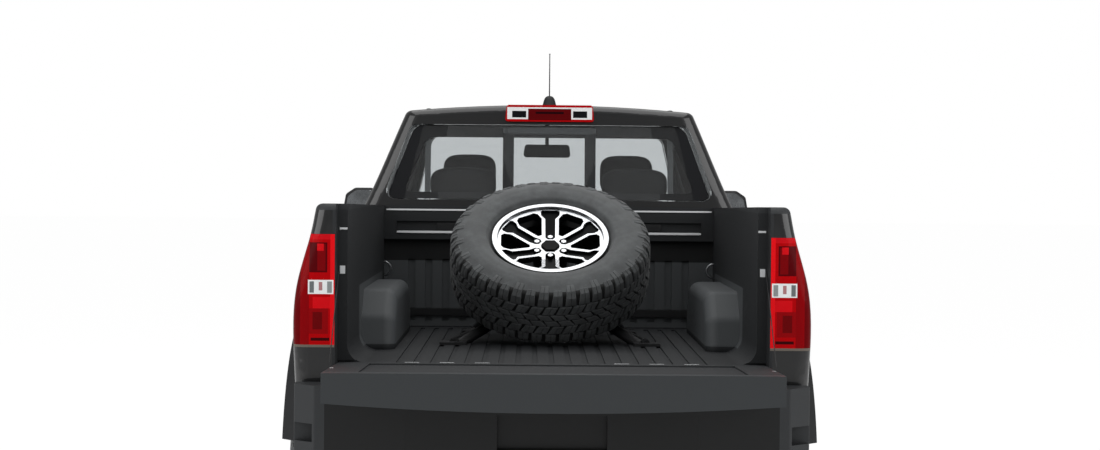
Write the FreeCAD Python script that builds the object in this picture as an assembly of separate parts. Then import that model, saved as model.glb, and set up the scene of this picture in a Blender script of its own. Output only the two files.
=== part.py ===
import FreeCAD, Part
import math
import os

# A mid-size crew-cab pickup truck with its tailgate down and a spare wheel on a stand in the bed.
# +Y is the truck's forward direction, +X its right side and +Z up. The origin is on the ground,
# at the middle of the truck's length with the tailgate open. Places along the truck are given as
# 'back', the distance behind the front axle, which along() turns into Y.

V = FreeCAD.Vector

# Driving dimensions
wheelbase = 3261.0
half_track = 837.0
flare_half = 974.0
roof_height = 1834.0
front_overhang = 920.0
axle_height = 388.0

# Tyres and wheels
tyre_radius = 388.0
tyre_half_width = 132.5
tread_half_width = 104.0
bead_radius = 216.0
flange_radius = 230.0
rim_half_width = 109.0
pad_offset = 31.0
bore_radius = 33.5
lug_circle_radius = 60.0
lug_count = 6
spoke_count = 6
disc_depth = 46.0

# Cab
cab_front = 410.0
cab_rear = 2585.0
sill_bottom = 470.0
floor_under = 560.0
cabin_floor = 600.0
belt_height = 1250.0
cab_wall_low = 80.0
cab_wall_high = 54.0
roof_wall = 40.0
glass_foot_height = 1205.0
glass_foot_back = 444.0
header_height = 1745.0
header_back = 1118.0

# Doors
door_gap = 6.0
door_front = 562.0
door_split = 1545.0
door_rear = 2410.0
door_bottom = 545.0
door_wall_low = 92.0
door_wall_high = 50.0
shut_taper = 0.55
door_hinge_half = 914.0
glass_inset = 16.0
glass_thickness = 5.0

# Front clip
clip_rear = 556.0
clip_skin = 34.0
hood_gap = 5.0
hood_rear = 402.0
arch_radius = 500.0
flare_radius = 606.0
bumper_top = 700.0

# Cargo box
box_front = 2612.0
box_rear = 4330.0
box_inner_front = 2642.0
box_floor = 880.0
box_floor_thickness = 42.0
box_bottom = 560.0
rail_front_height = 1389.0
rail_rear_height = 1421.0
rail_half = 692.0
bulkhead_bar_low = 1250.0
bulkhead_bar_depth = 26.0
bed_corner = 64.0
wheelhouse_top = 1095.0
wheelhouse_half = 568.0
lamp_low = 940.0
lamp_high = 1318.0
lamp_inner = 727.0

# Tailgate, drawn closed and then turned down
tailgate_half = 719.0
pocket_half = 725.0
tailgate_front = 4250.0
tailgate_thickness = 80.0
tailgate_top = 1403.0
tailgate_bottom = 835.0
tailgate_hinge_back = 4275.0
tailgate_hinge_height = 860.0
tailgate_open_angle = 88.0
pocket_floor = 786.0

# Ladder frame
rail_inner = 390.0
rail_outer = 466.0
front_rail = (430.0, 550.0)
rear_rail = (560.0, 680.0)

# Hitch receiver, for a 50 mm square bar and a 5/8 inch pin
receiver_front = 4150.0
receiver_rear = 4470.0
receiver_height = 500.0
hitch_pin_back = 4408.0
hitch_pin_radius = 8.0

# Steering and hubs
kingpin_half = 757.0
ball_reach = 100.0
hub_inner = 775.0

# Spare wheel
spare_face_back = 3340.0
spare_face_height = 1303.0
spare_lean = 56.0

# Clearances
seat_gap = 0.3
move_gap = 0.5

gate_reach = tailgate_top - tailgate_hinge_height
rear_reach = tailgate_hinge_back + gate_reach * math.sin(math.radians(tailgate_open_angle))
front_axle_y = (rear_reach - front_overhang) / 2.0
rear_axle_back = wheelbase


def along(back):
    return front_axle_y - back


# Blocks, prisms and bars

def box(x0, x1, back0, back1, z0, z1):
    return Part.makeBox(x1 - x0, back1 - back0, z1 - z0, V(x0, along(back1), z0))


def polygon(points):
    return Part.makePolygon(points + [points[0]])


def rounded(wire, radius):
    points = [v.Point for v in wire.OrderedVertexes]
    count = len(points)
    corners = []
    for i, p in enumerate(points):
        before = (points[i - 1] - p).normalize()
        after = (points[(i + 1) % count] - p).normalize()
        half_angle = before.getAngle(after) / 2.0
        run = radius / math.tan(half_angle)
        centre = p + (before + after).normalize() * (radius / math.sin(half_angle))
        middle = centre + (p - centre).normalize() * radius
        corners.append((p + before * run, middle, p + after * run))
    edges = []
    for i, (start, middle, end) in enumerate(corners):
        edges.append(Part.Arc(start, middle, end).toShape())
        following = corners[(i + 1) % count][0]
        if (following - end).Length > 0.01:
            edges.append(Part.LineSegment(end, following).toShape())
    return Part.Wire(edges)


def outline(points, radius):
    wire = polygon(points)
    return rounded(wire, radius) if radius else wire


def prism(wire, direction):
    return Part.Face(wire).extrude(direction)


def across(points, x0, x1, radius=0.0):
    wire = outline([V(x0, along(b), z) for b, z in points], radius)
    return prism(wire, V(x1 - x0, 0, 0))


def lengthwise(points, back0, back1, radius=0.0):
    wire = outline([V(x, along(back0), z) for x, z in points], radius)
    return prism(wire, V(0, back0 - back1, 0))


def upright(points, z0, z1, radius=0.0):
    wire = outline([V(x, along(b), z0) for x, b in points], radius)
    return prism(wire, V(0, 0, z1 - z0))


def rod(start, end, radius):
    a = V(start[0], along(start[1]), start[2])
    b = V(end[0], along(end[1]), end[2])
    return Part.makeCylinder(radius, (b - a).Length, a, b - a)


def bar(points, radius):
    pieces = [rod(a, b, radius) for a, b in zip(points, points[1:])]
    pieces += [Part.makeSphere(radius, V(p[0], along(p[1]), p[2])) for p in points[1:-1]]
    return fuse(pieces)


def fuse(shapes):
    if len(shapes) == 1:
        return shapes[0]
    return shapes[0].fuse(shapes[1:]).removeSplitter()


def mirrored(shape):
    return shape.mirror(V(0, 0, 0), V(1, 0, 0))


def pair(shape):
    return [shape, mirrored(shape)]


def group(shapes):
    solids = []
    for shape in shapes:
        solids += shape.Solids
    return Part.makeCompound(solids)


def spun(points, back, height, low_x=None):
    wire = polygon([V(x, along(back) + r, height) for r, x in points])
    return Part.Face(wire).revolve(V(0, along(back), height), V(1, 0, 0), 360)


# Body surfaces: plan sections stacked up the height and lofted

def plan_section(z, halves, ends, bows, corners):
    half_front, half_mid, half_rear = halves
    y_front, y_rear = along(ends[0]), along(ends[1])

    def corner(half, y_end, bow, size, facing):
        flat = half - size
        slope = math.tan(2.0 * math.atan(bow / flat))
        start = V(flat, y_end - facing * bow, z)
        pole = V(half, y_end - facing * (bow + slope * size), z)
        end = V(half, y_end - facing * (bow + (slope + 1.0) * size), z)
        return start, pole, end

    def flip(p):
        return V(-p.x, p.y, p.z)

    def bend(a, b, c):
        curve = Part.BezierCurve()
        curve.setPoles([a, b, c])
        return curve.toShape()

    def arc(a, b, c):
        return Part.Arc(a, b, c).toShape()

    f0, f1, f2 = corner(half_front, y_front, bows[0], corners[0], 1.0)
    r0, r1, r2 = corner(half_rear, y_rear, bows[1], corners[1], -1.0)
    side_mid = V(half_mid, (f2.y + r2.y) / 2.0, z)
    return Part.Wire([
        arc(flip(f0), V(0, y_front, z), f0),
        bend(f0, f1, f2),
        arc(f2, side_mid, r2),
        bend(r2, r1, r0),
        arc(r0, V(0, y_rear, z), flip(r0)),
        bend(flip(r0), flip(r1), flip(r2)),
        arc(flip(r2), flip(side_mid), flip(f2)),
        bend(flip(f2), flip(f1), flip(f0))])


def read_off(z, profile):
    for (z0, w0), (z1, w1) in zip(profile, profile[1:]):
        if z <= z1:
            return w0 + (w1 - w0) * (z - z0) / (z1 - z0)
    return profile[-1][1]


def levels(bottom, profile):
    return [bottom] + [z for z, w in profile if z > bottom + 20.0]


def crowned_slab(stations, half, side_drop, base):
    wires = []
    for back, z in stations:
        y = along(back)
        left, right = V(-half, y, z - side_drop), V(half, y, z - side_drop)
        low_left, low_right = V(-half, y, base), V(half, y, base)
        wires.append(Part.Wire([
            Part.Arc(left, V(0, y, z), right).toShape(),
            Part.LineSegment(right, low_right).toShape(),
            Part.LineSegment(low_right, low_left).toShape(),
            Part.LineSegment(low_left, left).toShape()]))
    return Part.makeLoft(wires, True, False)


# (height, half-width) of the body side from the sill to the belt
side_profile = [(470.0, 846.0), (650.0, 886.0), (850.0, 906.0), (1010.0, 912.0), (1150.0, 900.0), (1250.0, 858.0)]
glass_profile = [(1120.0, 892.0), (1250.0, 856.0), (1400.0, 788.0), (1580.0, 709.0), (1745.0, 640.0), (1900.0, 575.0)]
roof_stations = [(300.0, 1640.0), (1118.0, 1790.0), (1500.0, 1827.0), (1850.0, 1834.0), (2250.0, 1829.0), (2700.0, 1808.0)]
hood_stations = [(700.0, 1226.0), (400.0, 1222.0), (0.0, 1208.0), (-400.0, 1180.0), (-700.0, 1132.0),
                 (-860.0, 1076.0), (-980.0, 1012.0)]
hood_side_drop = 62.0
roof_side_drop = 78.0


def windscreen_back(z):
    return glass_foot_back + (z - glass_foot_height) * (header_back - glass_foot_back) / (header_height - glass_foot_height)


def backlight_back(z):
    return cab_rear - 25.0 - (z - belt_height) * 62.0 / (header_height - belt_height)


def hood_form(drop):
    stations = [(back, z - drop) for back, z in hood_stations]
    return crowned_slab(stations, 1000.0, hood_side_drop, 380.0)


def roof_form(drop):
    stations = [(back, z - drop) for back, z in roof_stations]
    return crowned_slab(stations, 1000.0, roof_side_drop, 1080.0)


def cab_parts(low, high, roof_drop, bottom):
    tub_sections = []
    for z in levels(bottom, side_profile):
        half = read_off(z, side_profile) - low
        tub_sections.append(plan_section(z, (half - 4.0, half + 2.0, half), (cab_front + low, cab_rear - low),
                                         (30.0, 12.0), (60.0, 50.0)))
    tub = Part.makeLoft(tub_sections, True, False)
    cowl_room = box(-1000.0, 1000.0, cab_front - 100.0, door_front + 30.0, 1000.0, belt_height + 60.0)
    glass_sections = []
    for z, w in glass_profile:
        half = w - high
        bow = 105.0 - 40.0 * (z - glass_foot_height) / (header_height - glass_foot_height)
        glass_sections.append(plan_section(z, (half - 12.0, half + 2.0, half - 4.0),
                                           (windscreen_back(z) + high * 1.28, backlight_back(z) - high),
                                           (bow, 16.0), (78.0, 60.0)))
    house = Part.makeLoft(glass_sections, True, False).common(roof_form(roof_drop))
    house = house.cut(box(-1000.0, 1000.0, 0.0, cab_front + low + 14.0, 1000.0, 1400.0))
    return [tub.cut(cowl_room.cut(hood_form(low * 0.5))), house]


def mitre_offset(points, distances):
    area = sum(a[0] * b[1] - b[0] * a[1] for a, b in zip(points, points[1:] + points[:1]))
    turn = 1.0 if area > 0 else -1.0
    moved = []
    for i, (b, z) in enumerate(points):
        b0, z0 = points[i - 1]
        b1, z1 = points[(i + 1) % len(points)]
        length_in = math.hypot(b - b0, z - z0)
        length_out = math.hypot(b1 - b, z1 - z)
        normal_in = (turn * (z - z0) / length_in, -turn * (b - b0) / length_in)
        normal_out = (turn * (z1 - z) / length_out, -turn * (b1 - b) / length_out)
        total = (normal_in[0] + normal_out[0], normal_in[1] + normal_out[1])
        scale = distances[i] * 2.0 / (total[0] ** 2 + total[1] ** 2)
        moved.append((b + total[0] * scale, z + total[1] * scale))
    return moved


def shrunk(points, amount):
    return mitre_offset(points, [-amount] * len(points))


# Half-width of the cab's skin at one place
def skin_half(back, z):
    line = Part.makeLine(V(0, along(back), z), V(1000.0, along(back), z))
    return line.common(outer_cab).Length


# A plug through the right side whose outline is true at the skin and shrinks inwards by shut_taper.
# Both of its ends lie in planes that lean in with the body side.
def door_plug(points, grow):
    wires = []
    for foot, lean in ((1010.0, 0.17), (765.0, 0.18)):
        distances = []
        for b, z in points:
            distances.append(grow + shut_taper * (foot - lean * (z - door_bottom) - skin_half(b, z)))
        moved = mitre_offset(points, distances)
        wires.append(polygon([V(foot - lean * (z - door_bottom), along(b), z) for b, z in moved]))
    return Part.makeLoft(wires, True, True)


half_split = door_gap / 2.0 + 0.5
side_heights = [650.0, 750.0, 850.0, 930.0, 1010.0, 1090.0]
pillar_heights = side_heights + [1150.0, 1200.0, 1225.0, 1250.0, 1400.0, 1580.0]


def upright_edge(back, heights, downwards=False):
    return [(back, z) for z in (reversed(heights) if downwards else heights)]


front_door_outline = [
    (door_front, door_bottom), (door_split - half_split, door_bottom)]
front_door_outline += upright_edge(door_split - half_split, pillar_heights)
front_door_outline += [(door_split - half_split, 1722.0), (1248.0, 1722.0), (652.0, 1262.0), (door_front, 1186.0)]
front_door_outline += upright_edge(door_front, side_heights, True)
rear_door_outline = [(door_split + half_split, door_bottom), (door_rear, door_bottom)]
rear_door_outline += upright_edge(door_rear, side_heights)
rear_door_outline += [(door_rear, 1262.0), (2232.0, 1722.0), (door_split + half_split, 1722.0)]
rear_door_outline += upright_edge(door_split + half_split, pillar_heights, True)
front_window = [
    (door_split - 60.0, 1262.0), (door_split - 60.0, 1668.0), (1275.0, 1668.0), (838.0, 1330.0), (772.0, 1262.0)]
rear_window = [
    (door_split + 60.0, 1262.0), (2318.0, 1262.0), (2190.0, 1668.0), (door_split + 60.0, 1668.0)]
windscreen_outline = [(-706.0, 1256.0), (706.0, 1256.0), (566.0, 1716.0), (-566.0, 1716.0)]
backlight_outline = [(-712.0, 1415.0), (712.0, 1415.0), (594.0, 1737.0), (-594.0, 1737.0)]


def window_prism(points, shrink):
    return across(shrunk(points, shrink), 300.0, 1000.0, 24.0)


def windscreen_prism(shrink):
    return lengthwise(shrunk(windscreen_outline, shrink), 300.0, 1400.0, 55.0)


def backlight_prism(shrink):
    return lengthwise(shrunk(backlight_outline, shrink), 2200.0, 2700.0, 40.0)


outer_cab = fuse(cab_parts(0.0, 0.0, 0.0, sill_bottom))
roof_edges = [e for e in outer_cab.Edges if e.BoundBox.ZMin > header_height - 20.0 and e.Length > 40.0]
outer_cab = outer_cab.makeFillet(34.0, roof_edges)
inner_cab = cab_parts(cab_wall_low, cab_wall_high, roof_wall, cabin_floor)


def make_cab_shell():
    shell = outer_cab.cut(inner_cab)
    cuts = [windscreen_prism(0.0), backlight_prism(0.0)]
    for points in (front_door_outline, rear_door_outline):
        cuts += pair(door_plug(points, door_gap))
    cuts += pair(box(780.0, 1000.0, cab_front - 60.0, clip_rear + 2.0, 380.0, 1300.0).common(outer_cab))
    cuts.append(box(-760.0, 760.0, cab_front - 60.0, cab_rear + 60.0, 400.0, floor_under))
    cuts += pair(box(740.0, 1000.0, cab_front - 60.0, clip_rear + 2.0, 400.0, floor_under))
    seals = []
    for points in (front_door_outline, rear_door_outline):
        middle = (points[0][0] + points[1][0]) / 2.0
        block = box(800.0, 850.0, middle - 150.0, middle + 150.0, door_bottom - 12.0, door_bottom + 55.0)
        seals += pair(block.cut(door_plug(points, seat_gap)))
    return fuse([shell.cut(cuts)] + seals)


def make_door(points, window, side):
    plug = door_plug(points, 0.0)
    door = outer_cab.common(plug).cut(door_core + [window_prism(window, 0.0)])
    return door if side == "right" else mirrored(door)


door_core = cab_parts(door_wall_low, door_wall_high, roof_wall, sill_bottom - 30.0)
glass_back = glass_inset + glass_thickness
glass_shell = cab_parts(glass_inset, glass_inset, glass_inset, sill_bottom)[1].cut(
    cab_parts(glass_back, glass_back, glass_back, sill_bottom)[1])


# Front clip

nose_profile = [(400.0, -822.0), (560.0, -846.0), (700.0, -866.0), (900.0, -872.0), (1010.0, -868.0),
                (1150.0, -846.0), (1250.0, -806.0)]
clip_heights = [(400.0, 838.0)] + side_profile


def clip_form(inset, drop, bottom):
    sections = []
    for z in levels(bottom, clip_heights):
        half = read_off(z, clip_heights) - inset
        sections.append(plan_section(z, (half - 40.0, half - 3.0, half - 3.4),
                                     (read_off(z, nose_profile) + inset, clip_rear + 120.0),
                                     (118.0, 0.5), (150.0, 40.0)))
    return Part.makeLoft(sections, True, False).common(hood_form(drop))


outer_clip = clip_form(0.0, 0.0, sill_bottom)
shoulders = [e for e in outer_clip.Edges if e.BoundBox.ZMin > 1000.0
             and (e.BoundBox.YLength > 600.0 or e.BoundBox.YMin > along(-600.0))]
outer_clip = outer_clip.makeFillet(46.0, shoulders)
inner_clip = clip_form(clip_skin, clip_skin, sill_bottom - 40.0)

hood_outline = [(-690.0, hood_rear), (690.0, hood_rear), (640.0, -672.0), (430.0, -756.0), (150.0, -792.0),
                (-150.0, -792.0), (-430.0, -756.0), (-640.0, -672.0)]
lamp_outline = [(566.0, 884.0), (846.0, 908.0), (846.0, 1016.0), (566.0, 1006.0)]
grille_outline = [(-546.0, 724.0), (546.0, 724.0), (546.0, 1012.0), (-546.0, 1012.0)]


def wheel_room(back, radius, x0=480.0):
    return rod((x0, back, axle_height), (1000.0, back, axle_height), radius)


def hood_prism(grow):
    outline_points = mitre_offset(hood_outline, [grow] * len(hood_outline))
    return upright(outline_points, 900.0, 1400.0)


def nose_prism(points, shrink, radius):
    return lengthwise(shrunk(points, shrink), -1000.0, -520.0, radius)




def make_fenders():
    shell = outer_clip.cut(inner_clip)
    cuts = [hood_prism(hood_gap), nose_prism(grille_outline, 0.0, 26.0),
            box(-785.0, 785.0, hood_rear + hood_gap, clip_rear + 5.0, 380.0, 1300.0),
            box(-1000.0, 1000.0, clip_rear, clip_rear + 140.0, 380.0, 1300.0),
            box(-1000.0, 1000.0, -1000.0, 0.0, 380.0, bumper_top + seat_gap)]
    for shape in (nose_prism(lamp_outline, 0.0, 18.0), wheel_room(0.0, arch_radius),
                  door_plug(front_door_outline, door_gap)):
        cuts += pair(shape)
    liner = rod((622.0, 0.0, axle_height), (884.0, 0.0, axle_height), arch_radius + 8.0)
    liner = liner.cut(rod((600.0, 0.0, axle_height), (900.0, 0.0, axle_height), arch_radius))
    liner = liner.common(box(500.0, 900.0, -600.0, hood_rear - 10.0, bumper_top + 30.0, 1000.0)).common(inner_clip)
    rest = clip_form(clip_skin + seat_gap, clip_skin + seat_gap, sill_bottom)
    rests = [box(640.0, 740.0, -300.0, -250.0, 1092.0, 1160.0), box(650.0, 740.0, 300.0, 350.0, 1124.0, 1200.0)]
    stops = [pad.common(rest) for pad in rests]
    return group([shell.cut(cuts)] + pair(liner) + pair(stops[0]) + pair(stops[1]))


def make_hood():
    return outer_clip.cut(inner_clip).common(hood_prism(0.0))


bumper_profile = [(480.0, -886.0), (540.0, -914.0), (620.0, -920.0), (700.0, -912.0), (760.0, -896.0)]


def bumper_form(inset, bottom, top):
    sections = []
    for z in (bottom, 540.0, 620.0, top):
        half = read_off(z, side_profile) - inset
        sections.append(plan_section(z, (half - 34.0, half - 2.0, half - 3.4),
                                     (read_off(z, bumper_profile) + inset, clip_rear),
                                     (122.0, 0.5), (170.0, 3.0)))
    return Part.makeLoft(sections, True, False)


outer_bumper = bumper_form(0.0, 480.0, bumper_top)


def make_front_bumper():
    ring = outer_bumper.cut(bumper_form(64.0, 470.0, bumper_top + 20.0))
    mouth = lengthwise([(-360.0, 560.0), (360.0, 560.0), (400.0, 640.0), (-400.0, 640.0)], -1000.0, -800.0, 20.0)
    return ring.cut([mouth, box(-1000.0, 1000.0, -340.0, clip_rear + 5.0, 380.0, 800.0)]
                    + pair(wheel_room(0.0, arch_radius + 5.0)))


def make_headlamps():
    ring = outer_clip.cut(clip_form(58.0, 20.0, sill_bottom - 10.0))
    return group(pair(ring.common(nose_prism(lamp_outline, seat_gap, 18.0))))


def make_grille():
    plate = clip_form(12.0, 10.0, sill_bottom).cut(clip_form(36.0, 10.0, sill_bottom - 10.0))
    plate = plate.common(nose_prism(grille_outline, seat_gap, 26.0))
    slots = []
    for row in range(4):
        z = 748.0 + row * 64.0
        for x0, x1 in ((-510.0, -14.0), (14.0, 510.0)):
            slots.append(lengthwise([(x0, z), (x1, z), (x1, z + 42.0), (x0, z + 42.0)], -1000.0, -600.0, 10.0))
    return plate.cut(slots)


def flare_ring(back):
    section = [(arch_radius - 2.0, 862.0), (arch_radius - 2.0, 948.0), (arch_radius + 14.0, flare_half),
               (flare_radius - 46.0, flare_half - 6.0), (flare_radius, 920.0), (flare_radius, 862.0)]
    return spun(section, back, axle_height)


def make_front_flares():
    ring = flare_ring(0.0).cut([outer_clip, outer_bumper,
                                box(700.0, 1000.0, clip_rear - 1.0, 700.0, 0.0, 1100.0),
                                box(700.0, 1000.0, -700.0, 700.0, -300.0, sill_bottom + 12.0)])
    return group(pair(ring))


# Cargo box

box_profile = [(560.0, 866.0), (650.0, 886.0), (850.0, 906.0), (1010.0, 912.0), (1150.0, 900.0), (1250.0, 874.0),
               (1340.0, 850.0), (1440.0, 828.0)]


def box_form(inset, bottom):
    sections = []
    for z in levels(bottom, box_profile):
        half = read_off(z, box_profile) - inset
        sections.append(plan_section(z, (half - 3.0, half + 2.0, half - 42.0),
                                     (box_front - 70.0 + inset, box_rear - inset), (0.5, 0.5), (40.0, 52.0)))
    top = across([(2400.0, 300.0), (4500.0, 300.0), (4500.0, rail_rear_height + 2.0),
                  (2400.0, rail_front_height - 3.0)], -1000.0, 1000.0)
    return Part.makeLoft(sections, True, False).common(top)


outer_box = box_form(0.0, box_bottom)
box_rim = [e for e in outer_box.Edges if e.BoundBox.ZMin > rail_front_height - 20.0
           and (e.BoundBox.YLength > 600.0 or e.BoundBox.YMax < along(4100.0))]
outer_box = outer_box.makeFillet(24.0, box_rim).common(box(-1000.0, 1000.0, box_front, 4400.0, 300.0, 1500.0))
hump_outline = [(2781.0, 850.0), (3741.0, 850.0), (3706.0, 1000.0), (3600.0, wheelhouse_top),
                (2922.0, wheelhouse_top), (2816.0, 1000.0)]


def lamp_prism(shrink):
    return lengthwise([(lamp_inner + shrink, lamp_low + shrink), (1000.0, lamp_low + shrink),
                       (1000.0, lamp_high - shrink), (lamp_inner + shrink, lamp_high - shrink)],
                      4216.0 + shrink, 4400.0)


def make_cargo_box():
    hump = across(hump_outline, wheelhouse_half, 760.0, 46.0)
    hump = hump.makeFillet(44.0, [e for e in hump.Edges if e.BoundBox.XMax < wheelhouse_half + 1.0
                                  and e.BoundBox.ZMax > 870.0 and e.BoundBox.ZMax - e.BoundBox.ZMin < 240.0])
    hump_room = across(shrunk(hump_outline, 16.0), wheelhouse_half + 18.0, 872.0, 30.0)
    bed = box(-rail_half, rail_half, box_inner_front, 4400.0, box_floor, 1500.0)
    bed = bed.makeFillet(bed_corner, [e for e in bed.Edges if e.BoundBox.ZMax < box_floor + 1.0
                                      and e.BoundBox.YLength > 1000.0])
    under = box_form(34.0, box_bottom - 30.0).common(
        box(-1000.0, 1000.0, box_inner_front, 4310.0, 400.0, box_floor - box_floor_thickness))
    pocket = box(-pocket_half, pocket_half, tailgate_front, 4400.0, pocket_floor, 1500.0)
    sill_room = box(-pocket_half, pocket_half, 4206.0, 4400.0, 400.0, tailgate_hinge_height + 1.0)
    sill_room = sill_room.fuse(box(-pocket_half, pocket_half, 4234.0, 4400.0, 400.0, box_floor + 10.0))
    body = outer_box.cut(bed)
    body = body.fuse(pair(hump))
    front_room = box(-838.0, 838.0, box_front - 60.0, box_inner_front + 20.0, 400.0, box_floor - box_floor_thickness)
    cuts = [under, pocket, sill_room, front_room]
    for shape in (lamp_prism(0.0), hump_room, wheel_room(rear_axle_back, arch_radius, 586.0)):
        cuts += pair(shape)
    body = body.cut(cuts)
    ribs = [box(x - 9.0, x + 9.0, box_inner_front + 60.0, 4215.0, box_floor - 5.0, box_floor + 5.0)
            for x in [i * 58.0 for i in range(-9, 10)]]
    wall_ribs = [box(x - 15.0, x + 15.0, box_inner_front - 9.0, box_inner_front + 5.0, 905.0, 1166.0)
                 for x in [i * 72.0 for i in range(-8, 9)]]
    bar_face = box_inner_front + bulkhead_bar_depth
    bar_back = box(-rail_half - 2.0, rail_half + 2.0, box_inner_front - 2.0, bar_face, bulkhead_bar_low, 1378.0)
    shelf = box(-640.0, 640.0, bar_face - 12.0, bar_face + 5.0, 1284.0, 1326.0)
    body = body.fuse(bar_back).cut(ribs + wall_ribs + [shelf])
    sills = [box(-520.0, 520.0, back, back + 60.0, rear_rail[1] + seat_gap, box_floor - box_floor_thickness)
             for back in (2790.0, 3130.0, 3560.0, 4130.0)]
    return fuse([body] + sills)


def make_rear_flares():
    ring = flare_ring(rear_axle_back).cut([outer_box, box(700.0, 1000.0, 2400.0, 4100.0, -300.0, box_bottom)])
    return group(pair(ring))


def make_rear_lamps():
    ring = outer_box.cut(box_form(46.0, box_bottom - 20.0))
    tail = ring.common(lamp_prism(seat_gap))
    high = lengthwise([(-190.0, 1751.0), (190.0, 1751.0), (184.0, 1822.0), (-184.0, 1822.0)], 2440.0, 2514.0, 12.0)
    return group(pair(tail) + [high.cut(outer_cab)])


def make_tailgate():
    lip = 40.0
    body = box(-tailgate_half, tailgate_half, tailgate_front, tailgate_front + tailgate_thickness,
               tailgate_bottom, tailgate_top)
    lip_low = tailgate_top - 52.0
    bow = Part.Face(Part.Wire([
        Part.LineSegment(V(-tailgate_half, along(tailgate_front + 40.0), lip_low),
                         V(tailgate_half, along(tailgate_front + 40.0), lip_low)).toShape(),
        Part.LineSegment(V(tailgate_half, along(tailgate_front + 40.0), lip_low),
                         V(tailgate_half, along(tailgate_front + tailgate_thickness + 14.0), lip_low)).toShape(),
        Part.Arc(V(tailgate_half, along(tailgate_front + tailgate_thickness + 14.0), lip_low),
                 V(0, along(tailgate_front + tailgate_thickness + lip), lip_low),
                 V(-tailgate_half, along(tailgate_front + tailgate_thickness + 14.0), lip_low)).toShape(),
        Part.LineSegment(V(-tailgate_half, along(tailgate_front + tailgate_thickness + 14.0), lip_low),
                         V(-tailgate_half, along(tailgate_front + 40.0), lip_low)).toShape()]))
    body = body.fuse(bow.extrude(V(0, 0, tailgate_top - lip_low))).removeSplitter()
    panel = box(-610.0, 610.0, tailgate_front - 5.0, tailgate_front + 5.0, 905.0, 1330.0)
    handle = lengthwise([(-100.0, 1240.0), (100.0, 1240.0), (100.0, 1300.0), (-100.0, 1300.0)],
                        tailgate_front + 50.0, tailgate_front + 200.0, 14.0)
    body = body.cut([panel, handle])
    lever = lengthwise([(-84.0, 1250.0), (84.0, 1250.0), (84.0, 1290.0), (-84.0, 1290.0)],
                       tailgate_front + 48.0, tailgate_front + 72.0, 10.0)
    body = fuse([body, lever])
    axis_at = (tailgate_hinge_back, tailgate_hinge_height)
    pin_end = pocket_half - move_gap
    body = fuse([body] + pair(rod((tailgate_half - 30.0,) + axis_at, (pin_end,) + axis_at, 12.0)))
    turned = body.copy()
    turned.rotate(V(0, along(tailgate_hinge_back), tailgate_hinge_height), V(1, 0, 0), tailgate_open_angle)
    return turned


def make_rear_bumper():
    plan = [(-852.0, 4336.0), (852.0, 4336.0), (852.0, 4400.0), (780.0, 4462.0), (480.0, 4480.0),
            (-480.0, 4480.0), (-780.0, 4462.0), (-852.0, 4400.0)]
    body = upright(plan, 590.0, 826.0, 14.0)
    dip = box(-746.0, 746.0, 4300.0, 4500.0, pocket_floor - 16.0, 900.0)
    hollow = upright([(-816.0, 4300.0), (816.0, 4300.0), (816.0, 4380.0), (756.0, 4430.0), (-756.0, 4430.0),
                      (-816.0, 4380.0)], 570.0, 740.0)
    plate = box(-180.0, 180.0, 4452.0, 4500.0, 620.0, 735.0)
    steps = pair(box(786.0, 900.0, 4400.0, 4500.0, 640.0, 700.0))
    arms = pair(box(rail_inner + 8.0, rail_outer - 8.0, 4300.0 + seat_gap, 4440.0, 600.0, 670.0))
    return fuse([body.cut([dip, hollow, plate] + steps)] + arms)


# Wheels, drawn about their own axle and then placed

def wheel_face_height(r):
    return 66.0 + max(0.0, r - 84.0) * 0.24


def spoke_polygon(stations, angle):
    right = [V(r, w, -200.0) for r, w in stations]
    left = [V(r, -w, -200.0) for r, w in reversed(stations)]
    shape = prism(polygon(right + left), V(0, 0, 400.0))
    shape.rotate(V(0, 0, 0), V(0, 0, 1), angle)
    return shape


def revolve_z(points):
    return Part.Face(polygon([V(r, 0, z) for r, z in points])).revolve(V(0, 0, 0), V(0, 0, 1), 360)


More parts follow.
